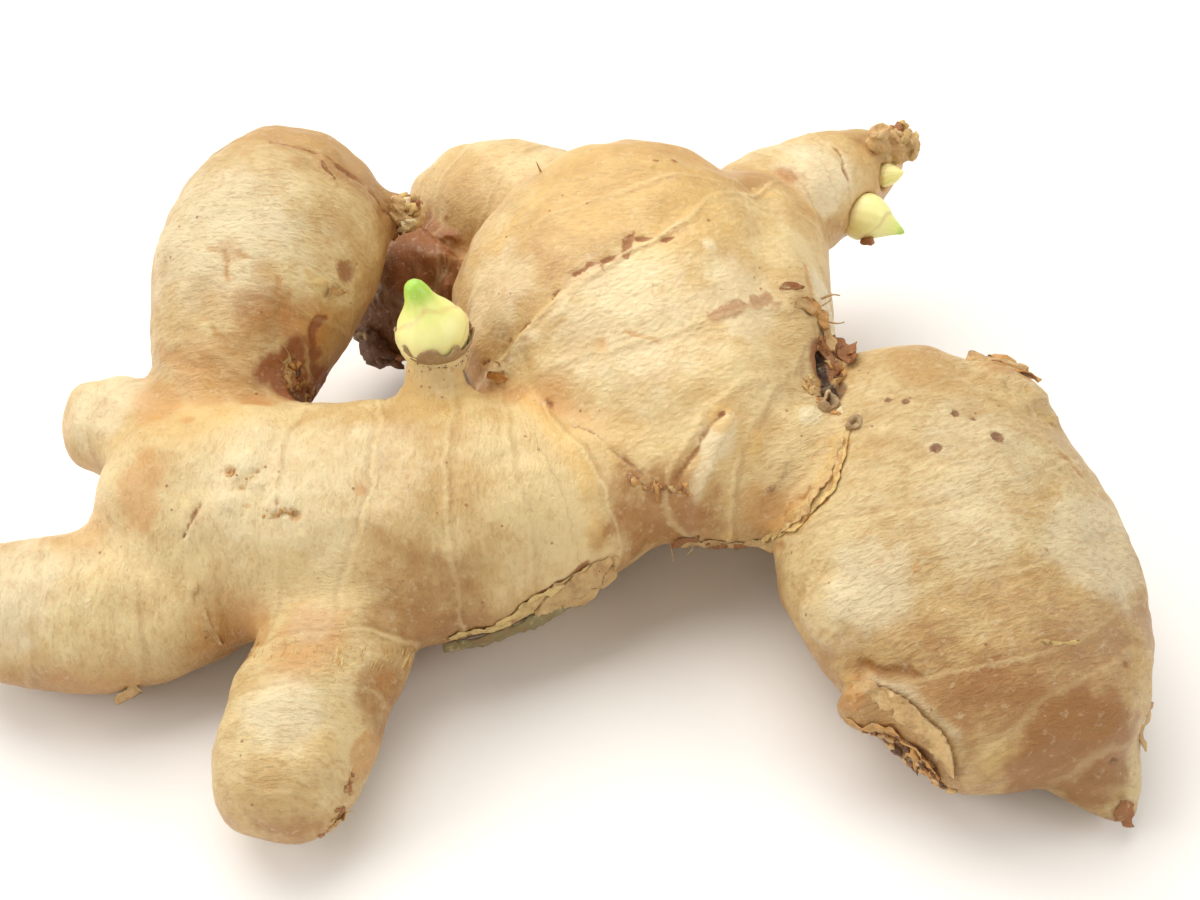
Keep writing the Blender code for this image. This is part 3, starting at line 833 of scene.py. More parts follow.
def addGrain(base, weights, rise):
    shape = skinShape
    bent = base + lumpVectors(base, shape["bendSize"], 9) * shape["bend"]
    for name, (way, _) in grains.items():
        if name == "pebbly":
            cells = lumps(pressed(bent, way, shape["pebbleStretch"]), shape["pebbleSize"], 8)
            rise += weights[name] * cells * shape["pebbleHeight"]
        else:
            folds = lumps(pressed(bent, way, shape["wrinkleStretch"]), shape["wrinkleSize"], 7)
            fineSize = shape["wrinkleSize"] * shape["fineShare"]
            folds += shape["fineShare"] * lumps(pressed(bent, way, shape["fineStretch"]), fineSize, 17)
            rise += weights[name] * folds * shape["wrinkleHeight"]


def makeRhizome():
    data = skinMesh()
    base = pointsOf(data)
    normals = normalsOf(data)
    weights = grainWeights(base)
    ringGap, ringStrength, ringTone = ringFields(base)
    tints = {name: np.zeros(len(base)) for name in tintNames}

    rise = np.zeros(len(base))
    for size, height, seed in skinShape["layers"].values():
        rise += lumps(base, size, seed) * height
    addGrain(base, weights, rise)
    rise -= skinShape["ringWaist"] * ringStrength * bell(ringGap, skinShape["ringWaistWidth"])
    rise += skinShape["ringLip"] * ringStrength * bell(ringGap, skinShape["ringLipWidth"])
    addMarks(base, tints, rise)
    addLines(base, tints, rise)
    rough = np.clip(tints["red"] - 0.4, 0, 1) + 0.4 * np.clip(tints["umber"] - 0.5, 0, 1)
    rise += rough * sum(lumps(base, size, seed) * height for size, height, seed in skinShape["crust"])
    points = base + normals * rise[:, None]
    points[:, 2] = np.maximum(points[:, 2], 0.0)

    fields = {
        # orange where lobes meet: partly the skin's own tint, partly painted crease shade
        "creaseTintAndShade": hollows(data, base, normals),
        # painted shade: how far the skin faces downwards, used to darken it
        "downwardShade": smoothStep(-normals[:, 2], -0.45, 0.35),
        "ringGap": np.clip(ringGap, -8, 8),
        "ringStrength": ringStrength,
        "skinTone": ringTone,
    }
    putPoints(data, points)
    for name, values in {**tints, **weights, **fields}.items():
        putAttribute(data, name, values)

    piece = placePiece("gingerSkin", thinned(data))
    piece.data.materials.append(skinMaterial())
    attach(piece, "root")
    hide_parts("rhizome")
    return piece


skinLook = {
    "pale": (0.79, 0.61, 0.305, 1),
    "base": (0.65, 0.43, 0.17, 1),
    "brownish": (0.45, 0.215, 0.063, 1),
    # cream is pale skin, and also the painted highlight in the Shine, Sheen and sheen marks
    "cream": (0.89, 0.77, 0.51, 1),
    "yellow": (0.76, 0.50, 0.17, 1),
    "tan": (0.62, 0.36, 0.12, 1),
    "brown": (0.37, 0.145, 0.022, 1),
    "mauve": (0.43, 0.20, 0.08, 1),
    "orange": (0.62, 0.27, 0.06, 1),
    "rust": (0.34, 0.125, 0.036, 1),
    "red": (0.33, 0.095, 0.028, 1),
    "umber": (0.17, 0.065, 0.025, 1),
    # dark is painted shade, laid inside the slit
    "dark": (0.05, 0.022, 0.012, 1),
    "hole": (0.30, 0.13, 0.05, 1),
    "ringPale": (0.84, 0.66, 0.34, 1),
    "ringDark": (0.36, 0.17, 0.055, 1),
}

# how firmly each tint covers the skin, and how sharp its edge is
tintCover = {
    "cream": (0.62, 0.9), "yellow": (0.6, 0.9), "tan": (0.75, 0.9), "brown": (0.88, 0.8),
        "mauve": (0.75, 0.5),
    "orange": (0.55, 0.9), "rust": (0.9, 0.6), "red": (0.9, 0.7), "umber": (0.8, 0.6), "hole": (0.9, 0.5),
    "dark": (0.97, 0.4),
}

# features of each noise in a metre, and how far the wrinkles sway and are pressed together
skinGrain = {
    "broad": 45,  # patches about 20 mm across
    "blotch": 170,  # patches about 6 mm across
    "ragged": 420,
    "grit": 750,
    "fuzz": 2400,
    "dots": 1000,
    "sway": 260, "swayReach": 0.0012,
    "wrinkle": 640, "wrinklePress": 1.5,
    "pebble": 880, "pebblePress": 0.6,
    "pebbleFine": 900, "finePress": 1.0,
}
wrinkleDepth = {"grainSide": 0.75, "grainFront": 0.85, "grainRight": 1.1}
toneShares = {"broad": 0.85, "blotch": 0.8, "grit": 0.25, "wrinkles": 0.20, "downwardShade": 0.30, "shift": 0.085}
# where each change of colour starts, where it is full, and how much it then covers
skinCover = {
    "pale": (0.80, 1.15, 1.0), "brownish": (0.86, 0.55, 0.7),
    "creaseTintAndShade": (0.004, 0.018, 0.7),
    "furrows": (0.46, 0.2, 0.30),
    "darkGrit": (0.60, 0.74, 0.25), "paleGrit": (0.44, 0.30, 0.30),
    "dot": (0.30, 0.18, 0.7),
    "ring": (0.6, 0.1, 0.62), "ringShade": (0.7, 0.1, 0.36),
}
skinRagged = {"creaseTintAndShade": 0.012, "tint": 0.9, "ring": 1.6, "ringShadeBehind": 0.8}
dotChance = {"speckled": 0.5, "elsewhere": 0.012}
skinRelief = {"wrinkles": 0.34, "grit": 0.18, "fuzz": 0.05, "ring": 0.10, "depth": 0.0011}
skinGloss = {"smoothest": 0.40, "roughest": 0.54, "stained": 0.28}
skinFinish = {
    "Subsurface Weight": 0.10,
    "Subsurface Radius": (1.0, 0.45, 0.2),
    "Subsurface Scale": 0.0015,
    "Specular IOR Level": 0.5,
    "Coat Weight": 0.22,
    "Coat Roughness": 0.32,
}


def pressedPlace(tree, where, way, stretch):
    way = Vector(way).normalized()
    along = moveBy(tree, "DOT_PRODUCT", where, way).outputs["Value"]
    return moveBy(tree, "ADD", where, scaled(tree, way, times(tree, along, stretch))).outputs[0]


def wrinkleNodes(tree, where):
    # wrinkles on each lobe run across its grain, and the central lobe is pebbly
    grain = skinGrain
    sway = addNode(tree, "TexNoise", {"Vector": where, "Scale": grain["sway"], "Detail": 2.0})
    sway = moveBy(tree, "ADD", sway.outputs["Color"], (-0.5, -0.5, -0.5)).outputs[0]
    bent = moveBy(tree, "ADD", where, scaled(tree, sway, grain["swayReach"])).outputs[0]
    wrinkles = 0.0
    for name, (way, _) in grains.items():
        if name == "pebbly":
            place = pressedPlace(tree, bent, way, grain["pebblePress"])
            cells = addNode(tree, "TexVoronoi", {"Vector": place, "Scale": grain["pebble"], "Smoothness": 0.8,
                                                 "Randomness": 1.0}, feature="SMOOTH_F1").outputs["Distance"]
            fine = noise(tree, pressedPlace(tree, bent, way, grain["finePress"]), grain["pebbleFine"], 4, 0.7)
            domes = doMath(tree, "SUBTRACT", 0.55, times(tree, cells, 0.6))
            height = addUp(tree, times(tree, fine, 0.55), domes)
        else:
            raw = noise(tree, pressedPlace(tree, bent, way, grain["wrinklePress"]), grain["wrinkle"], 5, 0.66)
            depth = wrinkleDepth[name]
            height = remap(tree, raw, 0.2, 0.8, 0.5 - depth / 2, 0.5 + depth / 2)
        wrinkles = addUp(tree, times(tree, height, attribute(tree, name)), wrinkles)
    return wrinkles


def coverShare(tree, value, name):
    start, end, most = skinCover[name]
    return remap(tree, value, start, end, 0.0, most)


def skinTones(tree, layers):
    # the tone of bare skin: pale on crests and beyond pale scars, browner in furrows, and darkened on faces
    # that turn downwards, which is painted shade
    tone = doMath(tree, "SUBTRACT", attribute(tree, "skinTone"), toneShares["shift"])
    tone = doMath(tree, "SUBTRACT", tone, times(tree, attribute(tree, "downwardShade"), toneShares["downwardShade"]))
    for name in ("broad", "blotch", "grit", "wrinkles"):
        tone = addUp(tree, tone, times(tree, layers[name], toneShares[name]))
    colour = mixTones(tree, coverShare(tree, tone, "pale"), skinLook["base"], skinLook["pale"])
    colour = mixTones(tree, coverShare(tree, tone, "brownish"), colour, skinLook["brownish"])
    # orange in the creases between lobes: partly the skin's own tint, partly painted shade
    uneven = times(tree, centred(tree, layers["blotch"]), skinRagged["creaseTintAndShade"])
    creaseTintAndShade = addUp(tree, attribute(tree, "creaseTintAndShade"), uneven)
    return mixTones(tree, coverShare(tree, creaseTintAndShade, "creaseTintAndShade"), colour, skinLook["orange"])


def addTints(tree, colour, ragged):
    uneven = times(tree, centred(tree, ragged), skinRagged["tint"])
    for name, (most, edge) in tintCover.items():
        amount = addUp(tree, attribute(tree, name), uneven)
        share = remap(tree, amount, 0.5 - edge / 2, 0.5 + edge / 2, 0.0, most)
        present = remap(tree, attribute(tree, name), 0.02, 0.2)
        colour = mixTones(tree, times(tree, share, present), colour, skinLook[name])
    return colour


def addDots(tree, colour, where):
    cells = addNode(tree, "TexVoronoi", {"Vector": where, "Scale": skinGrain["dots"], "Randomness": 1.0})
    chosen = addNode(tree, "SeparateColor", {0: cells.outputs["Color"]}).outputs[0]
    chance = times(tree, attribute(tree, "speckle"), dotChance["speckled"])
    chance = addUp(tree, chance, dotChance["elsewhere"])
    share = times(tree, coverShare(tree, cells.outputs["Distance"], "dot"),
                  doMath(tree, "LESS_THAN", chosen, chance))
    return mixTones(tree, share, colour, skinLook["red"])


def addRings(tree, colour, ragged):
    # a pale line on each ring scar with a thin shade behind it
    gap = addUp(tree, attribute(tree, "ringGap"), times(tree, centred(tree, ragged), skinRagged["ring"]))
    behind = addUp(tree, gap, skinRagged["ringShadeBehind"])
    strength = attribute(tree, "ringStrength")
    for place, name, tone in ((behind, "ringShade", "ringDark"), (gap, "ring", "ringPale")):
        start, end, most = skinCover[name]
        near = remap(tree, doMath(tree, "ABSOLUTE", place), start, end)
        onRing = times(tree, near, strength, True)
        colour = mixTones(tree, times(tree, onRing, most), colour, skinLook[tone])
    return colour, onRing


def skinMaterial():
    material, tree, shader = newMaterial("gingerSkin")
    where = addNode(tree, "TexCoord").outputs["Object"]
    layers = {
        "broad": noise(tree, where, skinGrain["broad"], 4, 0.6),
        "blotch": noise(tree, where, skinGrain["blotch"], 5, 0.6),
        "grit": noise(tree, where, skinGrain["grit"], 4, 0.65),
        "fuzz": noise(tree, where, skinGrain["fuzz"], 2),
        "wrinkles": wrinkleNodes(tree, where),
    }
    ragged = noise(tree, where, skinGrain["ragged"], 5, 0.7)
    colour = addTints(tree, skinTones(tree, layers), ragged)
    colour = mixTones(tree, coverShare(tree, layers["wrinkles"], "furrows"), colour, skinLook["brownish"])
    colour = mixTones(tree, coverShare(tree, layers["grit"], "darkGrit"), colour, skinLook["brownish"])
    colour = mixTones(tree, coverShare(tree, layers["grit"], "paleGrit"), colour, skinLook["cream"])
    colour = addDots(tree, colour, where)
    colour, layers["ring"] = addRings(tree, colour, ragged)
    tree.links.new(colour, shader.inputs["Base Color"])

    relief = 0.0
    for name in ("wrinkles", "grit", "fuzz", "ring"):
        relief = addUp(tree, times(tree, layers[name], skinRelief[name]), relief)
    addBump(tree, shader, relief, skinRelief["depth"])
    stained = addUp(tree, attribute(tree, "rust"), attribute(tree, "umber"), True)
    gloss = remap(tree, layers["blotch"], 0.3, 0.7, skinGloss["smoothest"], skinGloss["roughest"])
    gloss = addUp(tree, gloss, times(tree, stained, skinGloss["stained"]))
    tree.links.new(gloss, shader.inputs["Roughness"])
    setFinish(shader, skinFinish)
    return material


# loose scales, crusts and fibres that lie on the skin: where each tone is on the ramp, and its colour
scrapTones = {
    "greenGrey": (0.02, (0.26, 0.21, 0.085, 1)),
    "yellow": (0.14, (0.76, 0.54, 0.21, 1)),
    "cream": (0.27, (0.82, 0.68, 0.40, 1)),
    "tan": (0.40, (0.62, 0.40, 0.17, 1)),
    "orange": (0.54, (0.60, 0.31, 0.09, 1)),
    "rust": (0.68, (0.36, 0.15, 0.05, 1)),
    "dark": (0.82, (0.13, 0.055, 0.022, 1)),
    "grey": (0.97, (0.40, 0.27, 0.14, 1)),
}
scrapLook = {
    "blotch": 420, "grit": 1300, "depth": 0.0007,
    "stain": (0.30, 0.14, 0.05, 1), "bleach": (0.80, 0.62, 0.34, 1), "cover": 0.5,
}
scrapFinish = {"Roughness": 0.62, "Subsurface Weight": 0.08, "Subsurface Scale": 0.001}


def scrapMaterial():
    material, tree, shader = newMaterial("dryScrap")
    where = addNode(tree, "TexCoord").outputs["Object"]
    blotch = noise(tree, where, scrapLook["blotch"], 4, 0.65)
    grit = noise(tree, where, scrapLook["grit"], 3, 0.6)
    colour = toneRamp(tree, attribute(tree, "tone"), list(scrapTones.values()))
    stained = remap(tree, blotch, 0.45, 0.70, 0.0, scrapLook["cover"])
    bleached = remap(tree, blotch, 0.46, 0.28, 0.0, scrapLook["cover"])
    colour = mixTones(tree, stained, colour, scrapLook["stain"])
    colour = mixTones(tree, bleached, colour, scrapLook["bleach"])
    tree.links.new(colour, shader.inputs["Base Color"])
    addBump(tree, shader, addUp(tree, blotch, times(tree, grit, 0.5)), scrapLook["depth"])
    setFinish(shader, scrapFinish)
    return material


def onSkin(skin, place):
    spot, facing, _, _ = skin.find_nearest(Vector(place) * mm + middle)
    return np.array(spot - middle) / mm, np.array(facing)


def smoothPath(corners, step):
    # a smooth curve through the corners, with a point every step
    corners = np.array(corners, float)
    ends = np.vstack([2 * corners[0] - corners[1], corners, 2 * corners[-1] - corners[-2]])
    path = []
    for number in range(1, len(ends) - 2):
        before, start, end, after = ends[number - 1:number + 3]
        count = max(2, int(np.linalg.norm(end - start) / step))
        for share in np.arange(count) / count:
            bend = (2 * before - 5 * start + 4 * end - after) * share**2
            bend += (3 * start - before - 3 * end + after) * share**3
            path.append(start + 0.5 * ((end - before) * share + bend))
    path.append(corners[-1])
    return np.array(path)


def mergeInto(mesh, extra, tone):
    layer = extra.verts.layers.float.new("tone")
    for vert in extra.verts:
        vert[layer] = scrapTones[tone][0]
    bmesh.ops.recalc_face_normals(extra, faces=extra.faces)
    data = bpy.data.meshes.new("part")
    extra.to_mesh(data)
    extra.free()
    mesh.from_mesh(data)
    bpy.data.meshes.remove(data)


stripShape = {
    "step": 0.5,
    "across": 8, "narrow": 0.8, "acrossNarrow": 2,  # a strip narrower than this has fewer faces
    "taperStart": 0.25, "taper": 3.5,
    "edgeNoise": 0.28, "edgeSwing": 1.2,
    "liftBend": 1.4, "curlBend": 2.2,
    "waveAlong": 0.25, "waveSize": 0.9, "wave": 0.7,
}


def addStrip(mesh, skin, corners, width, near, far, curl, ragged, thick, tone, seed, snap=True):
    # near and far are how high the two long edges stand off the skin, curl lifts the last end
    shape = stripShape
    path = smoothPath(corners, shape["step"])
    steps = len(path) - 1
    across = shape["across"] if width > shape["narrow"] else shape["acrossNarrow"]
    strip = bmesh.new()
    bmesh.ops.create_grid(strip, x_segments=steps, y_segments=across, size=0.5)
    heading = np.gradient(path, axis=0)
    spots = np.array([[share * steps * shape["edgeNoise"], side * 5.0, seed]
                      for share in np.linspace(0, 1, steps + 1) for side in (0, 1)])
    edge = (lumps(spots, 1.0, seed) + 0.7 * lumps(spots, 0.3, seed + 7)).reshape(-1, 2)
    for vert in strip.verts:
        along, side = vert.co.x + 0.5, vert.co.y
        number = min(steps, round(along * steps))
        _, facing = onSkin(skin, path[number])
        sideways = np.cross(facing, heading[number])
        sideways /= max(np.linalg.norm(sideways), 1e-6)
        taper = min(1.0, shape["taperStart"] + shape["taper"] * min(along, 1 - along))
        reach = side * width * taper * (1 + ragged * edge[number, int(side > 0)] * shape["edgeSwing"])
        place = path[number] + sideways * reach
        lift = near + (far - near) * (side + 0.5) ** shape["liftBend"] + curl * along ** shape["curlBend"]
        wave = lumps(place[None] + seed, shape["waveSize"], seed)[0]
        lift += ragged * (shape["waveAlong"] * edge[number, 0] + shape["wave"] * wave)
        spot = place
        if snap:
            spot, facing = onSkin(skin, place)
        vert.co = (Vector(spot + facing * lift) * mm) + middle
    bmesh.ops.solidify(strip, geom=strip.faces[:], thickness=thick * mm)
    mergeInto(mesh, strip, tone)


crumbShape = {"round": 0.9, "swell": 0.75, "swellSize": 0.9, "fineSize": 0.4, "longer": 0.45}


def addCrumb(mesh, skin, place, radius, press, tone, seed, snap=True):
    # a lump of dry crust, pressed flat against the skin
    shape = crumbShape
    crumb = bmesh.new()
    bmesh.ops.create_icosphere(crumb, subdivisions=3 if radius > shape["round"] else 2, radius=1.0)
    points = np.array([vert.co for vert in crumb.verts])
    swell = 1 + shape["swell"] * lumps(points + seed * 3.1, shape["swellSize"], seed)
    swell += 0.5 * shape["swell"] * lumps(points + seed, shape["fineSize"], seed + 1)
    longer = 1 + shape["longer"] * lumps(np.array([[seed * 1.7, 0.3, 0.9]]), 1.0, seed + 2)[0]
    spot, facing = onSkin(skin, place)
    if not snap:
        spot = place
    turn = Vector(facing).to_track_quat("Z", "Y").to_matrix()
    spin = Matrix.Rotation(seed * 1.3, 3, "Z")
    for vert, much in zip(crumb.verts, swell):
        grown = Vector((vert.co.x * longer, vert.co.y / longer, vert.co.z * press)) * much * radius
        vert.co = (Vector(spot) + turn @ (spin @ grown)) * mm + middle
    mergeInto(mesh, crumb, tone)


def spinProfile(mesh, verts, sides, weld):
    edges = [mesh.edges.new(pair) for pair in zip(verts[:-1], verts[1:])]
    bmesh.ops.spin(mesh, geom=verts + edges, cent=(0, 0, 0), axis=(0, 0, 1), angle=2 * math.pi, steps=sides,
                   use_merge=True)
    bmesh.ops.remove_doubles(mesh, verts=mesh.verts, dist=weld * mm)


def addLathe(mesh, profile, sides, place, way, tone, wobble, seed):
    # profile is (radius, height) from the closed bottom to the closed top, turned about way
    turned = bmesh.new()
    verts = [turned.verts.new((radius * mm, 0, height * mm)) for radius, height in profile]
    spinProfile(turned, verts, sides, 0.02)
    points = np.array([vert.co for vert in turned.verts]) / mm
    shift = lumpVectors(points, 1.6, seed) * wobble + lumpVectors(points, 0.7, seed + 5) * wobble * 0.5
    turn = Vector(way).to_track_quat("Z", "Y").to_matrix()
    for vert, point, push in zip(turned.verts, points, shift):
        vert.co = (turn @ Vector(point + push) + Vector(place)) * mm + middle
    mergeInto(mesh, turned, tone)


# Strips of loose skin: corners, width, lift of the two edges, curl, raggedness, thickness, tone.
# Each list makes one piece.
looseSkin = {
    "neckSeam": [
        (
            (
                (46, -15.5, 35.5), (45.2, -18, 34.2), (44, -22.5, 32.9), (41.8, -26, 30.7),
                (39, -27, 27.5), (36, -25.5, 22.8), (34, -20.5, 16),
            ),
            1.5, -0.15, 0.45, 0.0, 0.4, 0.3, "yellow",
        ),
        (
            ((45, -16, 34.6), (43.2, -21, 32.6), (41, -24.6, 30), (38.6, -26, 27), (36.2, -25, 23)),
            1.2, -0.1, 0.3, 0.1, 0.6, 0.25, "tan",
        ),
        (
            ((36, -24, 17.5), (31, -22, 15.5), (26, -21.5, 15.5), (21, -22, 17)), 1.8, 0.0, 0.6, 0.3,
            0.6, 0.3, "tan",
        ),
        (((34, -22, 16), (29, -21.6, 15), (24, -21.8, 15.5)), 1.2, 0.2, 0.7, 0.3, 0.7, 0.3, "rust"),
    ],
    "notchScales": [
        (((39, 4.7, 41.7), (40.5, 5.2, 41), (42, 5, 40.2)), 1.6, 0.0, 0.8, 0.6, 0.8, 0.22, "tan"),
        (((40, 6, 42), (42.5, 5.5, 40), (44, 4, 38)), 1.8, 0.0, 0.8, 0.5, 0.8, 0.25, "orange"),
        (((43, 6.5, 39.5), (45, 4.5, 37.5), (46, 1.5, 36)), 1.9, 0.0, 0.9, 0.7, 0.8, 0.25, "tan"),
        (((44.6, 3, 37.5), (45.4, 0, 36.2), (45.8, -3, 35.4)), 1.4, 0.0, 0.7, 0.4, 0.8, 0.25, "rust"),
        (((46, 5, 36), (48, 3.4, 35), (49.8, 2, 34.6)), 2.4, 0.1, 1.3, 1.2, 0.8, 0.25, "rust"),
        (((47, 3, 35), (48.4, 0.6, 34.6), (48.4, -1.8, 35)), 2.0, 0.1, 1.0, 0.9, 0.9, 0.25, "rust"),
        (((46.4, 0, 35.4), (46.6, -3, 35), (46, -6, 34.8)), 1.2, 0.0, 0.8, 0.4, 0.8, 0.25, "orange"),
        (((37, 7, 43.5), (38.5, 8, 43.4), (40.5, 8, 42.6)), 0.9, 0.0, 0.5, 0.7, 0.8, 0.2, "rust"),
    ],
    "cornerFlakes": [
        (
            ((67, 2, 34), (69.5, 0.5, 33.6), (72, -1, 33), (74, -2.6, 32.4)), 4.4, 0.0, 1.6, 0.8, 0.4,
            0.35, "tan",
        ),
        (
            ((71, -1.5, 33.4), (73, -2.6, 32.6), (75, -4.2, 31.8)), 2.6, 0.0, 1.0, 1.0, 0.5, 0.3,
            "orange",
        ),
    ],
    "rootScarFlap": [
        (
            ((43, -50, 19), (46, -53.5, 20.5), (50, -57, 20), (54, -60.5, 17), (56, -62, 14)), 3.0,
            -0.1, 0.55, 0.1, 0.3, 0.35, "tan",
        ),
        (
            ((44.5, -52, 15), (48, -56, 15.5), (52, -59, 14.5), (55, -61, 12.5)), 1.8, -0.1, 0.5, 0.2,
            0.6, 0.3, "orange",
        ),
    ],
    "bodyEdgeStrip": [
        (
            ((-14, -34, 10.5), (-9, -34.5, 12), (-3, -33.5, 15), (3, -31, 18), (8, -28.5, 20)), 3.4,
            0.0, 0.2, 0.0, 0.35, 0.35, "yellow",
        ),
        (
            ((-15, -33.5, 8), (-10, -34, 9), (-5, -33.6, 10.5), (0, -32.6, 13), (4, -31, 14.5)), 2.2,
            1.0, 0.3, 0.0, 0.3, 0.9, "greenGrey",
        ),
        (
            ((-1, -33, 14.5), (3, -31.4, 16.5), (7, -29.5, 18.5), (10, -27.5, 20)), 2.6, 0.8, 0.0, 0.3,
            0.5, 0.45, "tan",
        ),
        (((3, -31.4, 14.5), (7, -29.6, 16), (10.5, -27.4, 17.5)), 2.4, 1.4, 0.2, 0.4, 0.6, 0.5, "tan"),
    ],
    "bodyFlakes": [
        (((-9.5, -1, 32), (-7.5, -2.3, 33.4), (-5.5, -3, 34)), 1.0, 0.0, 0.6, 0.9, 0.7, 0.22, "orange"),
        (((-8, 0, 32), (-6.5, -1, 33), (-5, -0.8, 33.6)), 0.8, 0.0, 0.5, 1.2, 0.7, 0.2, "tan"),
        (
            ((-48.5, -36, 24), (-48.5, -38, 21), (-47, -39.5, 17), (-45.5, -40, 13)), 1.0, 0.0, 0.25,
            0.1, 0.8, 0.2, "tan",
        ),
        (
            ((13.5, -21, 31), (14.5, -22, 29.5), (16, -22.5, 28.5)), 0.6, 0.0, 0.35, 0.3, 0.8, 0.2,
            "orange",
        ),
        (
            ((16.5, -21.5, 30), (17.5, -22.4, 28.4), (17.5, -23, 26.5)), 0.6, 0.0, 0.35, 0.3, 0.8, 0.2,
            "orange",
        ),
        (((24, -21.6, 19), (22, -22, 18), (20, -22.2, 16.5)), 0.9, 0.1, 0.6, 0.5, 0.7, 0.25, "rust"),
    ],
    "leftFlakes": [
        (((-59, -42, 9), (-61, -43, 7), (-63, -43, 5)), 2.0, 0.0, 0.7, 1.0, 0.6, 0.3, "tan"),
        (
            ((-35.5, 8.6, 41.5), (-33.5, 9, 41.5), (-31.4, 9.6, 41)), 1.3, 0.0, 0.7, 0.9, 0.6, 0.22,
            "tan",
        ),
        (((-42, 2, 37), (-41.5, 0, 33.5), (-41, -2, 30)), 1.1, 0.0, 0.6, 0.2, 0.6, 0.25, "tan"),
        (((-36, 27, 54.5), (-35, 25.5, 54), (-33.5, 24.5, 53)), 0.6, 0.0, 0.3, 0.3, 0.7, 0.2, "rust"),
        (((-26, -66, 10), (-24, -66.5, 8.5), (-22.5, -65, 7.5)), 1.3, 0.0, 0.4, 0.4, 0.6, 0.25, "tan"),
    ],
    "rightFlakes": [
        (((83, -49, 14), (84, -52, 12), (84, -55, 10)), 1.4, 0.0, 0.4, 0.5, 0.6, 0.25, "tan"),
        (((80, -60, 7), (81.5, -61.5, 4.5), (82.5, -62.5, 2.5)), 1.1, 0.0, 0.5, 0.6, 0.9, 0.25, "rust"),
        (
            ((67, -50.5, 28.5), (69.5, -51, 28.4), (72.5, -50.4, 28)), 0.45, 0.0, 0.3, 0.3, 0.6, 0.2,
            "yellow",
        ),
    ],
}

# Heaps of crust: how many crumbs, between which two places, how far they stray, radius, tones.
crusts = {
    "stemScarDark": (12, (-27, 31, 38.5), (-23, 31.5, 37.5), 1.4, (0.4, 0.8), ("rust", "dark")),
    "notchCrust": (
        46, (43, -8, 34.4), (45, -12, 34.5), 0.8, (0.25, 0.6),
        ("grey", "tan", "orange", "rust", "cream"),
    ),
    "notchCrumbs": (
        24, (40.8, -5.6, 34.5), (42.4, -8, 34.4), 0.7, (0.25, 0.6), ("tan", "yellow", "orange"),
    ),
    "notchRust": (30, (44.5, 3, 37), (47, -3, 35), 0.9, (0.25, 0.6), ("rust", "orange", "dark", "tan")),
    "rootScarCrust": (
        90, (46, -55, 12), (55, -61.5, 10), 1.5, (0.3, 0.8), ("rust", "dark", "tan", "orange"),
    ),
    "redCrust": (
        44, (-40, -0.5, 35), (-38, 2, 25), 2.2, (0.3, 0.8), ("rust", "rust", "dark", "orange"),
    ),
    "pitCrumbs": (10, (-44.5, -25, 35), (-40.5, -26, 35), 0.6, (0.15, 0.3), ("tan", "orange")),
    "pitCrumbsLow": (12, (-38.5, -31, 31.8), (-34, -30.5, 32.4), 0.7, (0.15, 0.3), ("tan", "orange")),
    "neckCrumbs": (20, (17, -21.7, 28.5), (23, -22, 27.5), 0.5, (0.2, 0.45), ("orange", "rust", "tan")),
    "fingerCrumbs": (
        26, (-23.5, -61, 14), (-27.5, -67, 8), 0.8, (0.25, 0.7), ("tan", "orange", "rust"),
    ),
    "bodyEdgeKnob": (9, (7, -29, 16.5), (10.5, -27, 18), 1.2, (0.6, 1.3), ("tan", "dark", "tan")),
    "shadowLump": (7, (-34, 31, 13), (-29, 32, 10), 1.6, (1.6, 3.4), ("dark", "rust", "dark")),
}

# Crumbly knobs: middle, how far the crumbs lie from it, how many, radius, tones.
knobs = {
    "stemScarKnob": (
        (-23.6, 31.6, 41.8), 2.6, 70, (0.5, 1.1), ("yellow", "tan", "cream", "tan", "orange", "rust"),
    ),
    "stumpCrumbs": ((65.4, 60.6, 38.2), 3.2, 60, (0.4, 0.9), ("yellow", "tan", "orange", "rust")),
}


def tonePick(tones, chance):
    return tones[int(chance.random() * len(tones))]


def strayVector(chance, reach):
    return [chance.gauss(0, reach) for _ in range(3)]


def finishScrap(name, mesh):
    piece = newPiece(name, mesh)
    piece.data.shade_smooth()
    piece.data.materials.append(bpy.data.materials.get("dryScrap") or scrapMaterial())
    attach(piece, "root")


def makeLooseSkin(skin):
    seed = 100
    for name, strips in looseSkin.items():
        mesh = bmesh.new()
        for strip in strips:
            seed += 1
            addStrip(mesh, skin, *strip, seed)
        finishScrap(name, mesh)
    for name, (count, start, end, stray, sizes, tones) in crusts.items():
        mesh = bmesh.new()
        chance = random.Random(len(name) * 7 + count)
        for number in range(count):
            share = chance.random()
            place = np.array(start) * (1 - share) + np.array(end) * share
            place = place + np.array(strayVector(chance, 0.6)) * stray
            radius = chance.uniform(*sizes)
            addCrumb(mesh, skin, place, radius, 0.6, tonePick(tones, chance), seed + number)
        seed += count
        finishScrap(name, mesh)
    for name, (centre, reach, count, sizes, tones) in knobs.items():
        mesh = bmesh.new()
        chance = random.Random(count)
        for number in range(count):
            way = Vector(strayVector(chance, 1)).normalized()
            place = np.array(centre) + np.array(way) * reach * chance.uniform(0.75, 1.05)
            radius = chance.uniform(*sizes)
            addCrumb(mesh, skin, place, radius, 0.8, tonePick(tones, chance), seed + number, snap=False)
        seed += count
        finishScrap(name, mesh)
    print("loose skin and crusts ready")


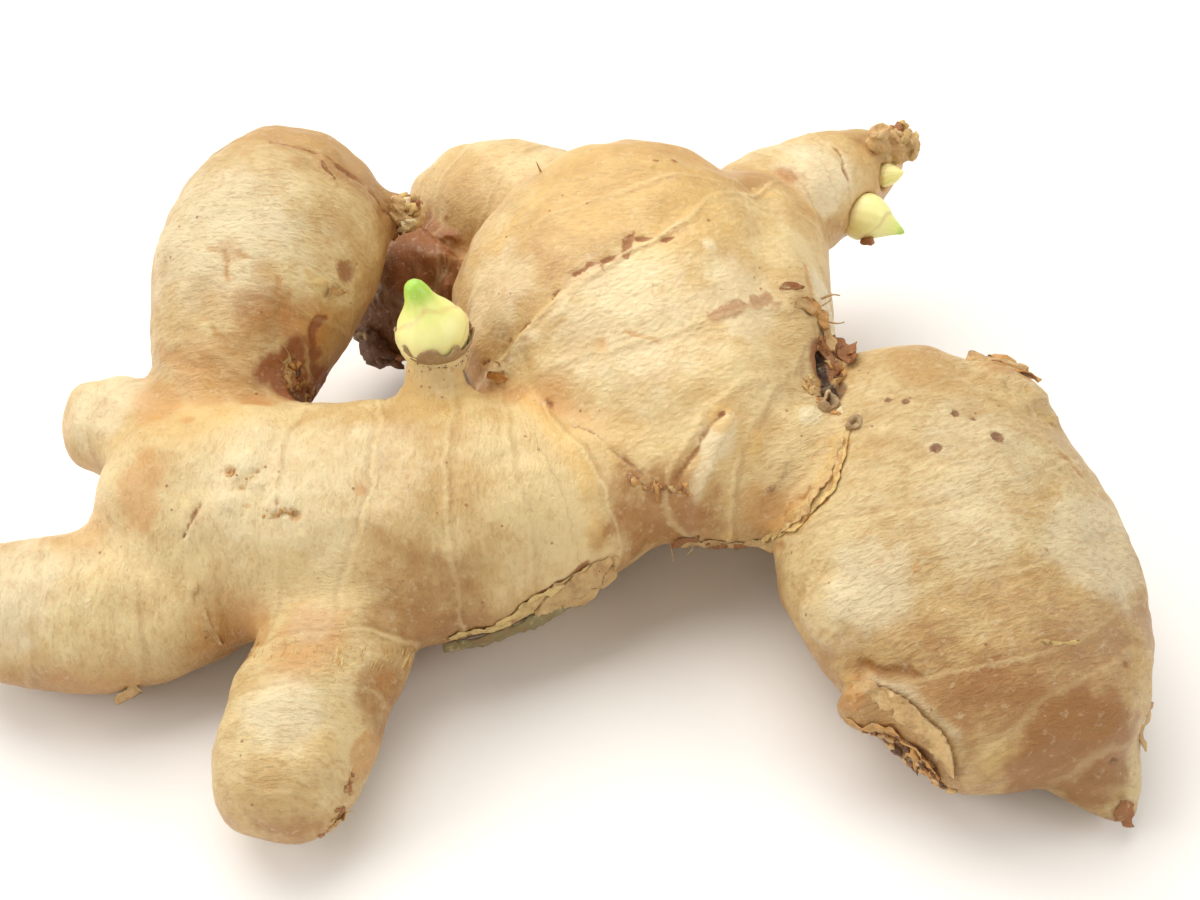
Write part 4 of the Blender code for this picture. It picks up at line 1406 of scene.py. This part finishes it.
# Turned stubs: profile as (radius, height), place, way, tone and wobble.
stubs = {
    "ringStub": (
        (
            (0, -1.0), (1.0, -0.8), (1.3, 0.1), (1.2, 0.5), (0.85, 0.6), (0.5, 0.2), (0.35, -0.4),
            (0, -0.5),
        ),
        (46.8, -15, 35.2), (-0.1, -0.3, 1.0), "grey", 0.35,
    ),
    "notchCurl": (
        (
            (0, -1.2), (1.2, -0.9), (1.5, 0.3), (1.3, 1.0), (1.0, 1.1), (0.7, 0.4), (0.4, -0.3),
            (0, -0.4),
        ),
        (43.9, -9.8, 34.5), (0.1, -0.4, 0.9), "grey", 0.7,
    ),
    "driedStump": (
        (
            (0, -2.5), (3.0, -2.2), (3.3, 0.2), (2.5, 1.0), (3.0, 2.0), (3.3, 3.2), (2.6, 4.0),
            (2.9, 5.0), (2.7, 6.0), (1.9, 6.8), (1.2, 6.3), (0.7, 5.4), (0, 5.2),
        ),
        (62, 59.5, 37.5), (0.85, 0.15, 0.12), "tan", 0.75,
    ),
    "stumpSide": (
        ((0, -1.5), (1.9, -1.2), (2.2, 0.3), (1.8, 1.4), (2.0, 2.6), (1.3, 3.4), (0.7, 3.0), (0, 2.8)),
        (60.5, 57.5, 40), (-0.1, 0.0, 1.0), "tan", 0.6,
    ),
    "stemScarCup": (
        ((0, -1.8), (2.3, -1.6), (2.8, 0.2), (2.5, 1.6), (1.7, 2.2), (1.0, 1.7), (0.5, 1.5), (0, 1.5)),
        (-23.6, 31.6, 41.4), (0.35, -0.6, 0.6), "tan", 0.5,
    ),
    "budRest": (
        ((0, -0.8), (0.9, -0.6), (1.2, 0.3), (0.9, 1.0), (0.4, 1.2), (0, 1.1)), (58.5, 44.6, 27.4),
        (0.1, -0.6, -0.8), "rust", 0.4,
    ),
}


def makeStubs():
    for number, (name, (profile, place, way, tone, wobble)) in enumerate(stubs.items()):
        mesh = bmesh.new()
        dense = smoothPath([(radius, height, 0) for radius, height in profile], 0.3)[:, :2]
        dense[:, 0] = np.maximum(dense[:, 0], 0)
        dense[0, 0] = dense[-1, 0] = 0
        addLathe(mesh, dense, 36, place, way, tone, wobble, 300 + number)
        finishScrap(name, mesh)
    print("stubs ready")


# Fringe of the front finger, and single root hairs: root, way and length.
fibres = {
    "fringeTop": (
        (-40, -42, 17), (-38, -44, 20), (-32, -46, 23), (-26, -46.5, 22.5), (-21, -44, 19),
        (-18, -39, 12),
    ),
    "fringeWidth": (0.15, 0.32),
    "whiskerWidth": 0.28,
    "fringeCount": 120,
    "fringeLength": (1.6, 4.4),
    "fringeWay": (0.0, -0.95, -0.1),
    "whiskers": {
        "notchA": ((46, 10, 40), (0.8, -0.1, 0.3), 3.5), "notchB": ((46, 9, 40), (0.6, 0.2, 0.5), 2.6),
        "notchC": ((47, 7, 38), (0.9, -0.2, 0.1), 3.0),
        "seamA": ((42, -25, 30), (0.5, -0.6, -0.2), 3.0),
        "seamB": ((38, -26, 24), (0.2, -0.8, -0.4), 2.6),
        "neckA": ((20, -22, 16), (0.1, -0.6, -0.8), 2.8),
        "neckB": ((23, -22, 16), (-0.2, -0.6, -0.8), 2.2),
        "topA": ((-2, 32, 52), (-0.3, -0.2, 0.9), 2.4), "bodyA": ((-8, 0, 32), (-0.5, -0.1, 0.9), 2.8),
        "bodyB": ((-7, 0, 33), (-0.1, -0.3, 0.9), 2.2),
    },
}


def makeFibres(skin):
    mesh = bmesh.new()
    chance = random.Random(17)
    root = smoothPath(fibres["fringeTop"], 0.2)
    for number in range(fibres["fringeCount"]):
        start = root[int(chance.random() * (len(root) - 1))] + np.array([0, chance.uniform(-0.8, 0.4), 0])
        way = np.array(fibres["fringeWay"]) + np.array([chance.gauss(0, 0.12), 0, 0])
        end = start + way * chance.uniform(*fibres["fringeLength"])
        width = chance.uniform(*fibres["fringeWidth"])
        addStrip(mesh, skin, (start, (start + end) / 2, end), width, -0.04, -0.01, 0.0, 0.2, 0.2,
                 tonePick(("orange", "yellow", "tan"), chance), 500 + number)
    finishScrap("fingerFringe", mesh)
    mesh = bmesh.new()
    for number, (place, way, length) in enumerate(fibres["whiskers"].values()):
        start, way = onSkin(skin, place)[0], np.array(way) * length
        bend = np.array(strayVector(chance, 0.3))
        corners = (start - way * 0.1, start + way * 0.5 + bend, start + way)
        addStrip(mesh, skin, corners, fibres["whiskerWidth"], 0.0, 0.0, 0.0, 0.2, 0.2, "tan", 600 + number,
                 snap=False)
    finishScrap("rootHairs", mesh)
    print("fibres ready")


# Young shoots: box names the CAD bud that one stands for, base and tip are shares of that box,
# and each sheath has its level, slant, the side it slants to, and its depth.
shoots = {
    "frontShoot": {
        "box": "shoot_bud_front", "green": 1.0, "base": (0.56, 0.5, -0.04), "tip": (0.3, 0.5, 1.0),
        "bow": (0.5, 0, 0),
        "radii": (
            (0, 3.9), (0.08, 4.1), (0.18, 4.6), (0.3, 5.2), (0.4, 5.3), (0.5, 4.9), (0.6, 4.0),
            (0.69, 3.0), (0.78, 2.3), (0.88, 1.85), (0.95, 1.35), (0.985, 0.7), (1.0, 0),
        ),
        "sheaths": ((0.52, 0.2, 0.4, 0.3), (0.33, 0.12, 2.6, 0.22)),
    },
    "rearShoot": {
        "box": "shoot_bud_rear", "green": 0.95, "base": (0.06, 0.62, 0.62), "tip": (1.0, 0.42, 0.18),
        "bow": (0, 0, 0.5),
        "radii": (
            (0, 2.4), (0.1, 3.5), (0.24, 4.1), (0.38, 4.15), (0.52, 3.6), (0.65, 2.7), (0.78, 1.7),
            (0.9, 0.9), (0.97, 0.45), (1.0, 0),
        ),
        "sheaths": ((0.5, 0.15, 1.2, 0.22),),
    },
    "smallShoot": {
        "box": "shoot_bud_small", "green": 0.35, "base": (0.15, 0.75, 0.25), "tip": (1.0, 0.15, 0.85),
        "bow": (0, 0, 0),
        "radii": ((0, 1.3), (0.2, 1.9), (0.45, 2.0), (0.7, 1.4), (0.9, 0.6), (1.0, 0)),
        "sheaths": ((0.45, 0.15, 0.5, 0.15),),
    },
}

# colours of a shoot from its foot to its tip, and of its sheaths' rims
shootLook = {
    "stops": ((0.0, (0.80, 0.66, 0.33, 1)), (0.14, (0.94, 0.85, 0.38, 1)), (0.55, (0.95, 0.90, 0.38, 1)),
              (0.74, (0.82, 0.87, 0.27, 1)), (0.86, (0.50, 0.72, 0.11, 1)), (1.0, (0.38, 0.62, 0.08, 1))),
    "flecks": (0.97, 0.95, 0.60, 1), "rim": (0.66, 0.46, 0.16, 1), "rimCover": 0.55,
    "uneven": 260, "fine": 900, "stray": 0.25,
    "bump": 0.35, "depth": 0.0006,
}
shootFinish = {
    "Roughness": 0.38,
    "Subsurface Weight": 0.35,
    "Subsurface Radius": (0.9, 1.0, 0.3),
    "Subsurface Scale": 0.0022,
    "Coat Weight": 0.15,
    "Coat Roughness": 0.25,
}
sheathShape = {"ramp": 0.35, "wave": 0.02, "waves": 5, "ribs": 14, "ribDepth": 0.05, "fullFrom": 1.2}


def shootMaterial():
    material, tree, shader = newMaterial("youngShoot")
    where = addNode(tree, "TexCoord").outputs["Object"]
    uneven = noise(tree, where, shootLook["uneven"], 3, 0.6)
    fine = noise(tree, where, shootLook["fine"], 3, 0.6)
    stage = addUp(tree, attribute(tree, "height"), times(tree, centred(tree, uneven), shootLook["stray"]))
    colour = toneRamp(tree, stage, shootLook["stops"])
    colour = mixTones(tree, remap(tree, fine, 0.58, 0.72, 0.0, 0.35), colour, shootLook["flecks"])
    rim = times(tree, attribute(tree, "edge"), shootLook["rimCover"])
    colour = mixTones(tree, rim, colour, shootLook["rim"])
    tree.links.new(colour, shader.inputs["Base Color"])
    addBump(tree, shader, uneven, shootLook["depth"], shootLook["bump"])
    setFinish(shader, shootFinish)
    return material


def shootEnds(look):
    lowest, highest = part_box(look["box"])
    size = highest - lowest
    shares = [look["base"], look["tip"]]
    return [lowest + Vector([part * extent for part, extent in zip(share, size)]) for share in shares]


def sheathAt(look, share, angle, length):
    # how far the sheaths stand out here, and how close their rims are
    shape = sheathShape
    swell = rim = 0
    for level, slant, toward, depth in look["sheaths"]:
        limit = level + slant * math.cos(angle - toward) + shape["wave"] * math.sin(shape["waves"] * angle)
        gap = (limit - share) * length / mm
        swell += depth * min(1, max(0, gap / shape["ramp"] + 0.5))
        rim = max(rim, math.exp(-((gap / shape["ramp"]) ** 2)))
    swell += shape["ribDepth"] * math.sin(angle * shape["ribs"]) * min(1, 4 * share * (1 - share))
    return swell, rim


def shootMesh(look):
    base, tip = shootEnds(look)
    length = (tip - base).length
    turn = (tip - base).to_track_quat("Z", "Y").to_matrix()
    stretch = 20  # evens out the profile's points along its length
    radii = smoothPath([(share * stretch, radius, 0) for share, radius in look["radii"]], 0.35)
    mesh = bmesh.new()
    verts = [mesh.verts.new((max(radius, 0) * mm, 0, share / stretch * length)) for share, radius, _ in radii]
    verts[-1].co.x = 0
    spinProfile(mesh, [mesh.verts.new((0, 0, 0))] + verts, 64, 0.01)
    bmesh.ops.recalc_face_normals(mesh, faces=mesh.faces)
    heights = mesh.verts.layers.float.new("height")
    rims = mesh.verts.layers.float.new("edge")
    bow = Vector(look["bow"]) * mm
    for vert in mesh.verts:
        share = vert.co.z / length
        swell, rim = sheathAt(look, share, math.atan2(vert.co.y, vert.co.x), length)
        radius = math.hypot(vert.co.x, vert.co.y)
        if radius > 1e-6:
            grown = (radius + swell * mm * min(1, radius / (sheathShape["fullFrom"] * mm))) / radius
            vert.co.x *= grown
            vert.co.y *= grown
        vert[heights] = share * look["green"]
        vert[rims] = rim
        vert.co = turn @ vert.co + base + bow * math.sin(math.pi * share)
    return mesh


def makeShoots():
    material = shootMaterial()
    for name, look in shoots.items():
        piece = newPiece(name, shootMesh(look))
        piece.data.shade_smooth()
        piece.data.materials.append(material)
        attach(piece, "root")
        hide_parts(look["box"])
    print("shoots ready")


# Bands round the front shoot: bottom, top, how far teeth reach past it, clearance and flare.
# Heights are in mm above the foot of the shoot, and the speckles are small dark crumbs.
collar = {
    "tube": {"bottom": -1.0, "top": 3.6, "tooth": 0, "clear": 0.60, "flare": 0},
    "teeth": {"bottom": 3.0, "top": 4.2, "tooth": 2.6, "clear": 0.66, "flare": 0.2},
    "thick": 0.25, "sides": 120,
    "speckles": 46, "speckleHeight": (1.4, 3.6), "speckleSize": (0.08, 0.17),
}


def addCollarBand(whole, part, tone, base, radiusAt):
    band = collar[part]
    mesh = bmesh.new()
    bmesh.ops.create_grid(mesh, x_segments=collar["sides"], y_segments=8, size=0.5)
    for vert in mesh.verts:
        angle = (vert.co.x + 0.5) * 2 * math.pi
        circle = np.array([[math.cos(angle) * 2.2, math.sin(angle) * 2.2, 4.0]])
        tooth = max(0, 0.4 + 0.7 * lumps(circle, 0.9, 5)[0] + 0.5 * lumps(circle, 0.35, 6)[0])
        top = band["top"] + band["tooth"] * tooth
        share = vert.co.y + 0.5
        height = band["bottom"] + share * (top - band["bottom"])
        radius = radiusAt(height) + band["clear"]
        radius += band["flare"] * share * tooth + 0.12 * lumps(circle * 2 + height, 0.8, 9)[0]
        vert.co = base + Vector((math.cos(angle) * radius, math.sin(angle) * radius, height)) * mm
    bmesh.ops.remove_doubles(mesh, verts=mesh.verts, dist=0.02 * mm)
    bmesh.ops.solidify(mesh, geom=mesh.faces[:], thickness=collar["thick"] * mm)
    mergeInto(whole, mesh, tone)


def makeCollar(skin):
    # the end of the stalk, and the torn brown rim of the old sheath round the front shoot
    base, tip = shootEnds(shoots["frontShoot"])
    length = (tip - base).length / mm
    shares, radii = zip(*shoots["frontShoot"]["radii"])

    def radiusAt(height):
        return np.interp(height / length, shares, radii)

    whole = bmesh.new()
    addCollarBand(whole, "tube", "cream", base, radiusAt)
    addCollarBand(whole, "teeth", "grey", base, radiusAt)
    chance = random.Random(9)
    foot = (np.array(base) - np.array(middle)) / mm
    for number in range(collar["speckles"]):
        angle, height = chance.uniform(0, 2 * math.pi), chance.uniform(*collar["speckleHeight"])
        radius = radiusAt(height) + collar["tube"]["clear"]
        place = foot + np.array([math.cos(angle) * radius, math.sin(angle) * radius, height])
        size = chance.uniform(*collar["speckleSize"])
        addCrumb(whole, skin, place, size, 1.0, "dark", 900 + number, snap=False)
    finishScrap("shootCollar", whole)
    print("collar ready")


makeStudio()
skinTree = BVHTree.FromObject(makeRhizome(), bpy.context.evaluated_depsgraph_get())
makeLooseSkin(skinTree)
makeStubs()
makeFibres(skinTree)
makeShoots()
makeCollar(skinTree)
